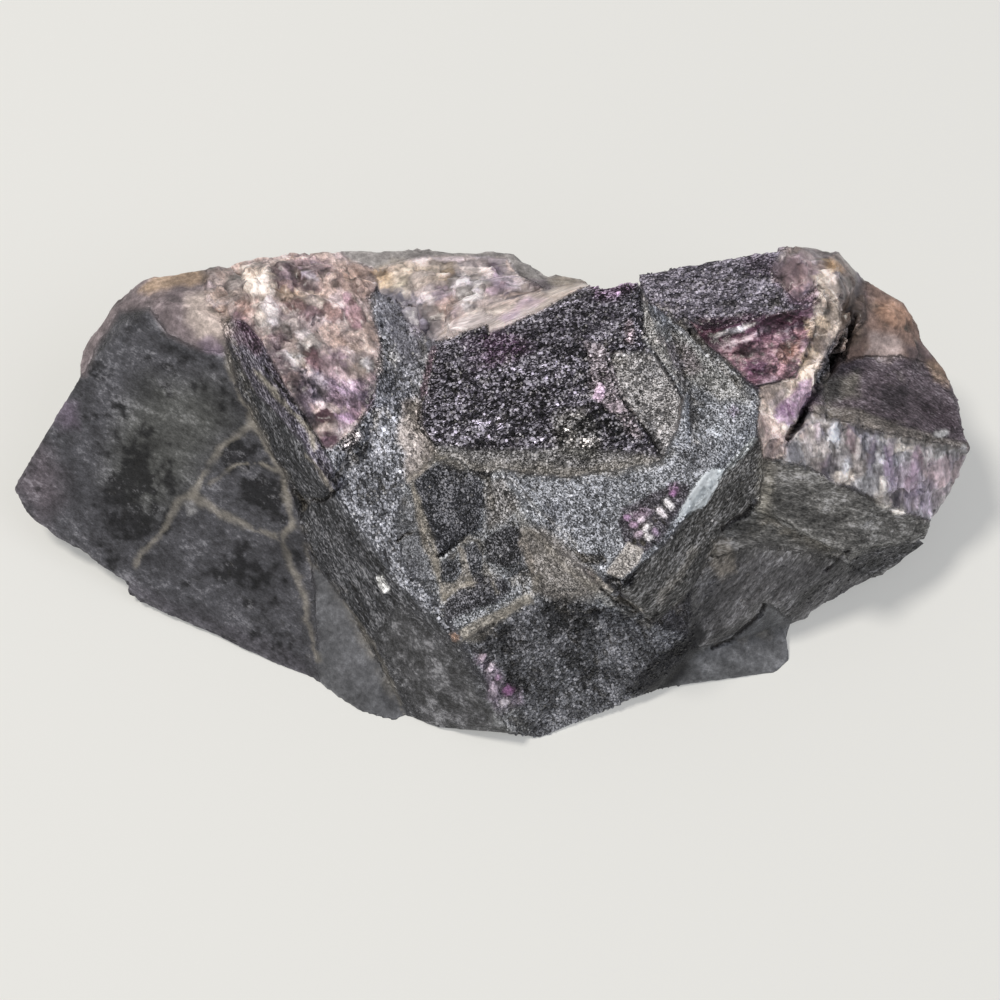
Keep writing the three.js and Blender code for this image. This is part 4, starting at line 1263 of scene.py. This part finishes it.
# Each cleaved block has a tone and a warmth of its own, and a dark edge. Some blocks are pale and some dark.
blockPaint = {
    "brokenFrom": 0.05,
    "sizes": ((3.0, 0.3), (1.3, 0.14)),  # each with how much its tone varies
    "paleStep": (0.75, 0.8),
    "darkStep": (0.15, 0.2),
    "darkShare": 1.3,
    "edgeStep": (0, 0.25),
    "edgeDark": 0.3,
    "warmth": 0.2,
}
chosen = np.flatnonzero(broken > blockPaint["brokenFrom"])
for size, amount in blockPaint["sizes"]:
    offset, mark, edge = brokenCells(grainPlace[chosen], size, facetSeed, True)
    pale = smoothStep(mark[:, 2], *blockPaint["paleStep"])
    dark = 1 - smoothStep(mark[:, 2], *blockPaint["darkStep"])
    toneOf = 1 + amount * (mark[:, 0] * 2 - 1) + amount * pale - blockPaint["darkShare"] * amount * dark
    toneOf *= 1 - blockPaint["edgeDark"] * (1 - smoothStep(edge, *blockPaint["edgeStep"]))
    toneOf = 1 + (toneOf - 1) * (broken * tones)[chosen]
    warmth = blockPaint["warmth"] * amount * (mark[:, 1] * 2 - 1)
    tint[chosen] *= toneOf[:, None] * np.stack([1 + warmth * 0.5, 1 - abs(warmth) * 0.5, 1 - warmth], 1)

# Dark pools, where a zone is mottled. A noise is its size, seed, octaves and share.
poolPaint = {"colour": "#131316", "shade": 1.1, "step": (0.36, 0.9)}
poolNoises = ((7, 441, 2, 0.35), (1.5, 440, 3, 0.8))
pools = sum(roughNoise(points, *noise) * share for *noise, share in poolNoises) + poolPaint["shade"] * shade
paint(poolPaint["colour"], smoothStep(pools, *poolPaint["step"]) * mottled * front)

# Pale dust, in the hollows and then along its lines
dustPaint = {
    "colour": "#9a948a",
    "pitStep": (0.05, 0.35),
    "pitCover": 0.55,
    "pitNoise": (3, 420, 3),
    "pitNoiseStep": (-0.6, 0.4),
    "wander": 0.7,
    "thickness": (0.8, 0.6),  # at the middle of its noise, and how far it varies
    "thicknessNoise": (3, 430, 4),
    "lineNoise": (5, 431, 3),
    "lineNoiseStep": (-1.5, -0.1),
    "lineStep": (0.15, 1.5),
    "lineCover": 0.8,
    "calm": 0.7,
}
drift = smoothStep(roughNoise(points, *dustPaint["pitNoise"]), *dustPaint["pitNoiseStep"])
hollows = smoothStep(pitWide, *dustPaint["pitStep"]) * dustPaint["pitCover"]
# No dust is painted over the painted shadows
paint(dustPaint["colour"], hollows * (1 - broken) * (1 - swept) * drift)
x, y, wanderX, wanderY = raggedMap(points, wander["dustSeed"])
x, y = x + dustPaint["wander"] * wanderX, y + dustPaint["wander"] * wanderY
middle, varies = dustPaint["thickness"]
thickness = middle + varies * roughNoise(points, *dustPaint["thicknessNoise"])
dustiness = smoothStep(roughNoise(points, *dustPaint["lineNoise"]), *dustPaint["lineNoiseStep"])
for line in dustLines.values():
    cover = lineCover(x, y, line, *dustPaint["lineStep"], thickness)
    cover = cover * line["amount"] * dustPaint["lineCover"] * dustiness * front
    paint(dustPaint["colour"], cover)
    busy *= 1 - dustPaint["calm"] * cover
# Painted shade: each crack is drawn dark along its line
crackShade = {"colour": "#1b1719", "step": (0.4, 1.1), "cover": 0.85}
x, y = frontMap(points)
for crack in cracks.values():
    paint(crackShade["colour"], lineCover(x, y, crack, *crackShade["step"]) * crackShade["cover"] * front)

# Painted shade darkens the fine pits, and fine edges are paler, and less so where it is broken: how much, the
# step in mm, and the share that broken faces lose
for amount, begins, full, lost in ((-0.5, 0.02, 0.1, 0.75), (0.35, 0.01, 0.08, 0.5)):
    depth = pitFine if amount < 0 else -pitFine
    tint *= (1 + amount * smoothStep(depth, begins, full) * (1 - lost * broken))[:, None]

# The long edges are worn, so they carry few of the tiny cubes, and none grow on faces turned away
cubeLook = {"upStep": (-0.1, 0.2), "edgeStep": (0.04, 0.2), "bare": 0.85}
upward = smoothStep(calmer[:, 2], *cubeLook["upStep"])
unworn = 1 - cubeLook["bare"] * smoothStep(-pitWide, *cubeLook["edgeStep"])
attributes = {
    "tint": ("FLOAT_COLOR", "color", np.concatenate([tint, np.ones((len(tint), 1))], 1)),
    "contrast": ("FLOAT_VECTOR", "vector", contrast * busy[:, None]),
    "blotch": ("FLOAT", "value", blotch),
    "grain": ("FLOAT", "value", grain * unworn * upward),
    "grainTurn": ("FLOAT_VECTOR", "vector", turn),
    "grainPlace": ("FLOAT_VECTOR", "vector", grainPlace),
}
for name, (kind, key, values) in attributes.items():
    layer = mesh.attributes.new(name, kind, "POINT")
    layer.data.foreach_set(key, np.ascontiguousarray(values, dtype=np.float32).ravel())

# The tone of all the fluorite: three sizes of speck, each with the detail of its noise, and then blotches
toneLook = {
    "sizes": ((0.23, 1.0), (0.7, 1.0), (2.6, 2.0), (5.5, 5.0)),
    "rough": 0.6,
    "strength": 12.0,
    "pale": {"colour": "#b4b3b8", "from": 0.4, "to": 1.8, "most": 0.7},
}
refraction = 1.43


def tonePattern(tree, fine=None):  # the base colour, its tone as a height, and its finest specks
    place = addNode(tree, "ShaderNodeAttribute", attribute_name="grainPlace").outputs["Vector"]
    tintNode = addNode(tree, "ShaderNodeVertexColor", layer_name="tint").outputs["Color"]
    contrastNode = addNode(tree, "ShaderNodeAttribute", attribute_name="contrast").outputs["Vector"]
    blotchNode = addNode(tree, "ShaderNodeAttribute", attribute_name="blotch").outputs["Fac"]
    levels = []
    for size, detail in toneLook["sizes"]:
        looks = {"Vector": place, "Scale": 1 / size, "Detail": detail, "Roughness": toneLook["rough"]}
        levels.append(addNode(tree, "ShaderNodeTexNoise", looks).outputs[0])
    stack = addNode(tree, "ShaderNodeCombineXYZ", {0: fine or levels[0], 1: levels[1], 2: levels[2]})
    middle = {0: stack.outputs[0], 1: (0.5, 0.5, 0.5)}
    centred = addNode(tree, "ShaderNodeVectorMath", middle, operation="SUBTRACT")
    products = {0: centred.outputs[0], 1: contrastNode}
    summed = addNode(tree, "ShaderNodeVectorMath", products, operation="DOT_PRODUCT")
    blotches = mathNode(tree, "SUBTRACT", levels[3], 0.5)
    both = mathNode(tree, "MULTIPLY_ADD", blotches, blotchNode, summed.outputs["Value"])
    power = mathNode(tree, "MULTIPLY", both, toneLook["strength"])
    tone = mathNode(tree, "EXPONENT", power)
    toned = addNode(tree, "ShaderNodeVectorMath", {0: tintNode, 3: tone}, operation="SCALE").outputs[0]
    pale = toneLook["pale"]
    span = {0: power, 1: pale["from"], 2: pale["to"], 3: 0.0, 4: pale["most"]}
    paleness = addNode(tree, "ShaderNodeMapRange", span)
    mixed = {0: paleness.outputs[0], 6: toned, 7: linearColour(pale["colour"])}
    base = addNode(tree, "ShaderNodeMix", mixed, data_type="RGBA")
    return base.outputs[2], both, levels[0]


# Frosted fluorite: a natural cube face covered in cubes of a fraction of a millimetre, so it is dull and
# dark with pale glinting specks
frosted, tree = newMaterial("frostedFluorite")
base, rise, sparkle = tonePattern(tree)
bump = addNode(tree, "ShaderNodeBump", {"Strength": 0.9, "Distance": 0.9 * mm, "Height": rise})
rough = addNode(tree, "ShaderNodeMapRange", {0: sparkle, 1: 0.35, 2: 0.65, 3: 0.8, 4: 0.4})
looks = {"Base Color": base, "Roughness": rough.outputs[0], "IOR": refraction, "Normal": bump.outputs[0]}
addShell(tree, looks)

# Cleaved fluorite: broken along its flat planes, glossier and a little see-through, so pale parts glow
cleaved, tree = newMaterial("cleavedFluorite")
base, rise, sparkle = tonePattern(tree)
bump = addNode(tree, "ShaderNodeBump", {"Strength": 0.35, "Distance": 0.8 * mm, "Height": rise})
addShell(
    tree,
    {
        "Base Color": base,
        "Roughness": 0.33,
        "IOR": refraction,
        "Subsurface Weight": 0.35,
        "Subsurface Radius": (1.0, 0.85, 0.85),
        "Subsurface Scale": 0.8 * mm,
        "Normal": bump.outputs[0],
    },
)

mesh.materials.clear()
mesh.materials.append(frosted)
mesh.materials.append(cleaved)
ends = np.empty(len(mesh.loops), np.int64)
mesh.loops.foreach_get("vertex_index", ends)
ends = ends.reshape(-1, 3)
mesh.polygons.foreach_set("material_index", (broken[ends].mean(1) > 0.5).astype(np.int32))
crisp = sum(weight * (zones[name]["kind"] in ("druse", "crust")) for name, weight in weights.items())
mesh.polygons.foreach_set("use_smooth", crisp[ends].mean(1) < 0.5)
mesh.update()
surface = addObject("crystalSkin", mesh)
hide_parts("fluorite_cluster")
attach(surface, "root")
print("skin coloured")

# Druse: tiny cubes standing on the crystal faces in line with the crystal under them. Size in mm, tilt in
# degrees.
druse = {
    "coarse": {"size": 0.46, "tilt": 22, "seed": 3},
    "middle": {"size": 0.37, "tilt": 26, "seed": 4},
    "fine": {"size": 0.3, "tilt": 30, "seed": 5},
}
druseLook = {"count": 16000, "least": 0.5, "cube": (1.0, 1.0, 0.8), "tones": (0.33, 0.67), "rough": 0.35}
grainMaterial, tree = newMaterial("druseFluorite")
toneNode = addNode(tree, "ShaderNodeAttribute", attribute_name="tone").outputs["Fac"]
darkest, palest = druseLook["tones"]
fine = addNode(tree, "ShaderNodeMapRange", {0: toneNode, 1: 0.0, 2: 1.0, 3: darkest, 4: palest})
base, rise, sparkle = tonePattern(tree, fine.outputs[0])
addShell(tree, {"Base Color": base, "Roughness": druseLook["rough"], "IOR": refraction})


def druseTree():
    tree = bpy.data.node_groups.new("druse", "GeometryNodeTree")
    kindOf = {"Geometry": "Geometry", "Seed": "Int", "Material": "Material"}
    inputs = {}
    for name in ("Geometry", "Density", "Size", "Least", "Tilt", "Seed", "Material"):
        kind = "NodeSocket" + kindOf.get(name, "Float")
        inputs[name] = tree.interface.new_socket(name, in_out="INPUT", socket_type=kind).identifier
    tree.interface.new_socket("Geometry", in_out="OUTPUT", socket_type="NodeSocketGeometry")
    given = tree.nodes.new("NodeGroupInput").outputs
    named = "GeometryNodeInputNamedAttribute"
    grainNode = addNode(tree, named, {"Name": "grain"}, data_type="FLOAT")
    turnNode = addNode(tree, named, {"Name": "grainTurn"}, data_type="FLOAT_VECTOR")
    density = mathNode(tree, "MULTIPLY", grainNode.outputs[0], given["Density"])
    scattered = {"Mesh": given["Geometry"], "Density": density, "Seed": given["Seed"]}
    scatter = addNode(tree, "GeometryNodeDistributePointsOnFaces", scattered, distribute_method="RANDOM")
    back = mathNode(tree, "MULTIPLY", given["Tilt"], -1.0)

    def randomVector(low, high):
        links = {0: low, 1: high, "Seed": given["Seed"]}
        return addNode(tree, "FunctionNodeRandomValue", links, data_type="FLOAT_VECTOR").outputs[0]

    turned = addNode(tree, "FunctionNodeEulerToRotation", {0: turnNode.outputs[0]}).outputs[0]
    wobbled = addNode(tree, "FunctionNodeEulerToRotation", {0: randomVector(back, given["Tilt"])}).outputs[0]
    rotation = addNode(tree, "FunctionNodeRotateRotation", {0: turned, 1: wobbled}, rotation_space="LOCAL")
    spread = randomVector(given["Least"], (1.0, 1.0, 1.0))
    size = addNode(tree, "ShaderNodeVectorMath", {0: spread, 3: given["Size"]}, operation="SCALE")
    cube = addNode(tree, "GeometryNodeMeshCube", {"Size": druseLook["cube"]})
    placed = addNode(
        tree,
        "GeometryNodeInstanceOnPoints",
        {
            "Points": scatter.outputs["Points"],
            "Instance": cube.outputs[0],
            "Rotation": rotation.outputs[0],
            "Scale": size.outputs[0],
        },
    )
    toneRange = {2: 0.0, 3: 1.0, "Seed": given["Seed"]}
    tone = addNode(tree, "FunctionNodeRandomValue", toneRange, data_type="FLOAT")
    stored = addNode(
        tree,
        "GeometryNodeStoreNamedAttribute",
        {"Geometry": placed.outputs[0], "Name": "tone", "Value": tone.outputs[1]},
        data_type="FLOAT",
        domain="INSTANCE",
    )
    real = addNode(tree, "GeometryNodeRealizeInstances", {0: stored.outputs[0]})
    finish = addNode(tree, "GeometryNodeSetMaterial", {0: real.outputs[0], "Material": given["Material"]})
    addNode(tree, "NodeGroupOutput", {0: finish.outputs[0]})
    return tree, inputs


tree, inputs = druseTree()
areas = np.empty(len(mesh.polygons), np.float32)
mesh.polygons.foreach_get("area", areas)
grainArea = float((areas * (grain * upward)[ends].mean(1)).sum())
for name, layer in druse.items():
    piece = addObject(name + "Druse", mesh.copy())
    grow = piece.modifiers.new("druse", "NODES")
    grow.node_group = tree
    given = {
        "Density": druseLook["count"] / grainArea,
        "Size": layer["size"] * mm,
        "Least": druseLook["least"],
        "Tilt": math.radians(layer["tilt"]),
        "Seed": layer["seed"],
        "Material": grainMaterial,
    }
    for socket, value in given.items():
        grow[inputs[socket]] = value
    grown = evaluatedMesh(piece)
    piece.modifiers.clear()
    piece.data = grown
    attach(piece, "root")
    print(name, "druse grown:", len(grown.polygons) * 2, "triangles")
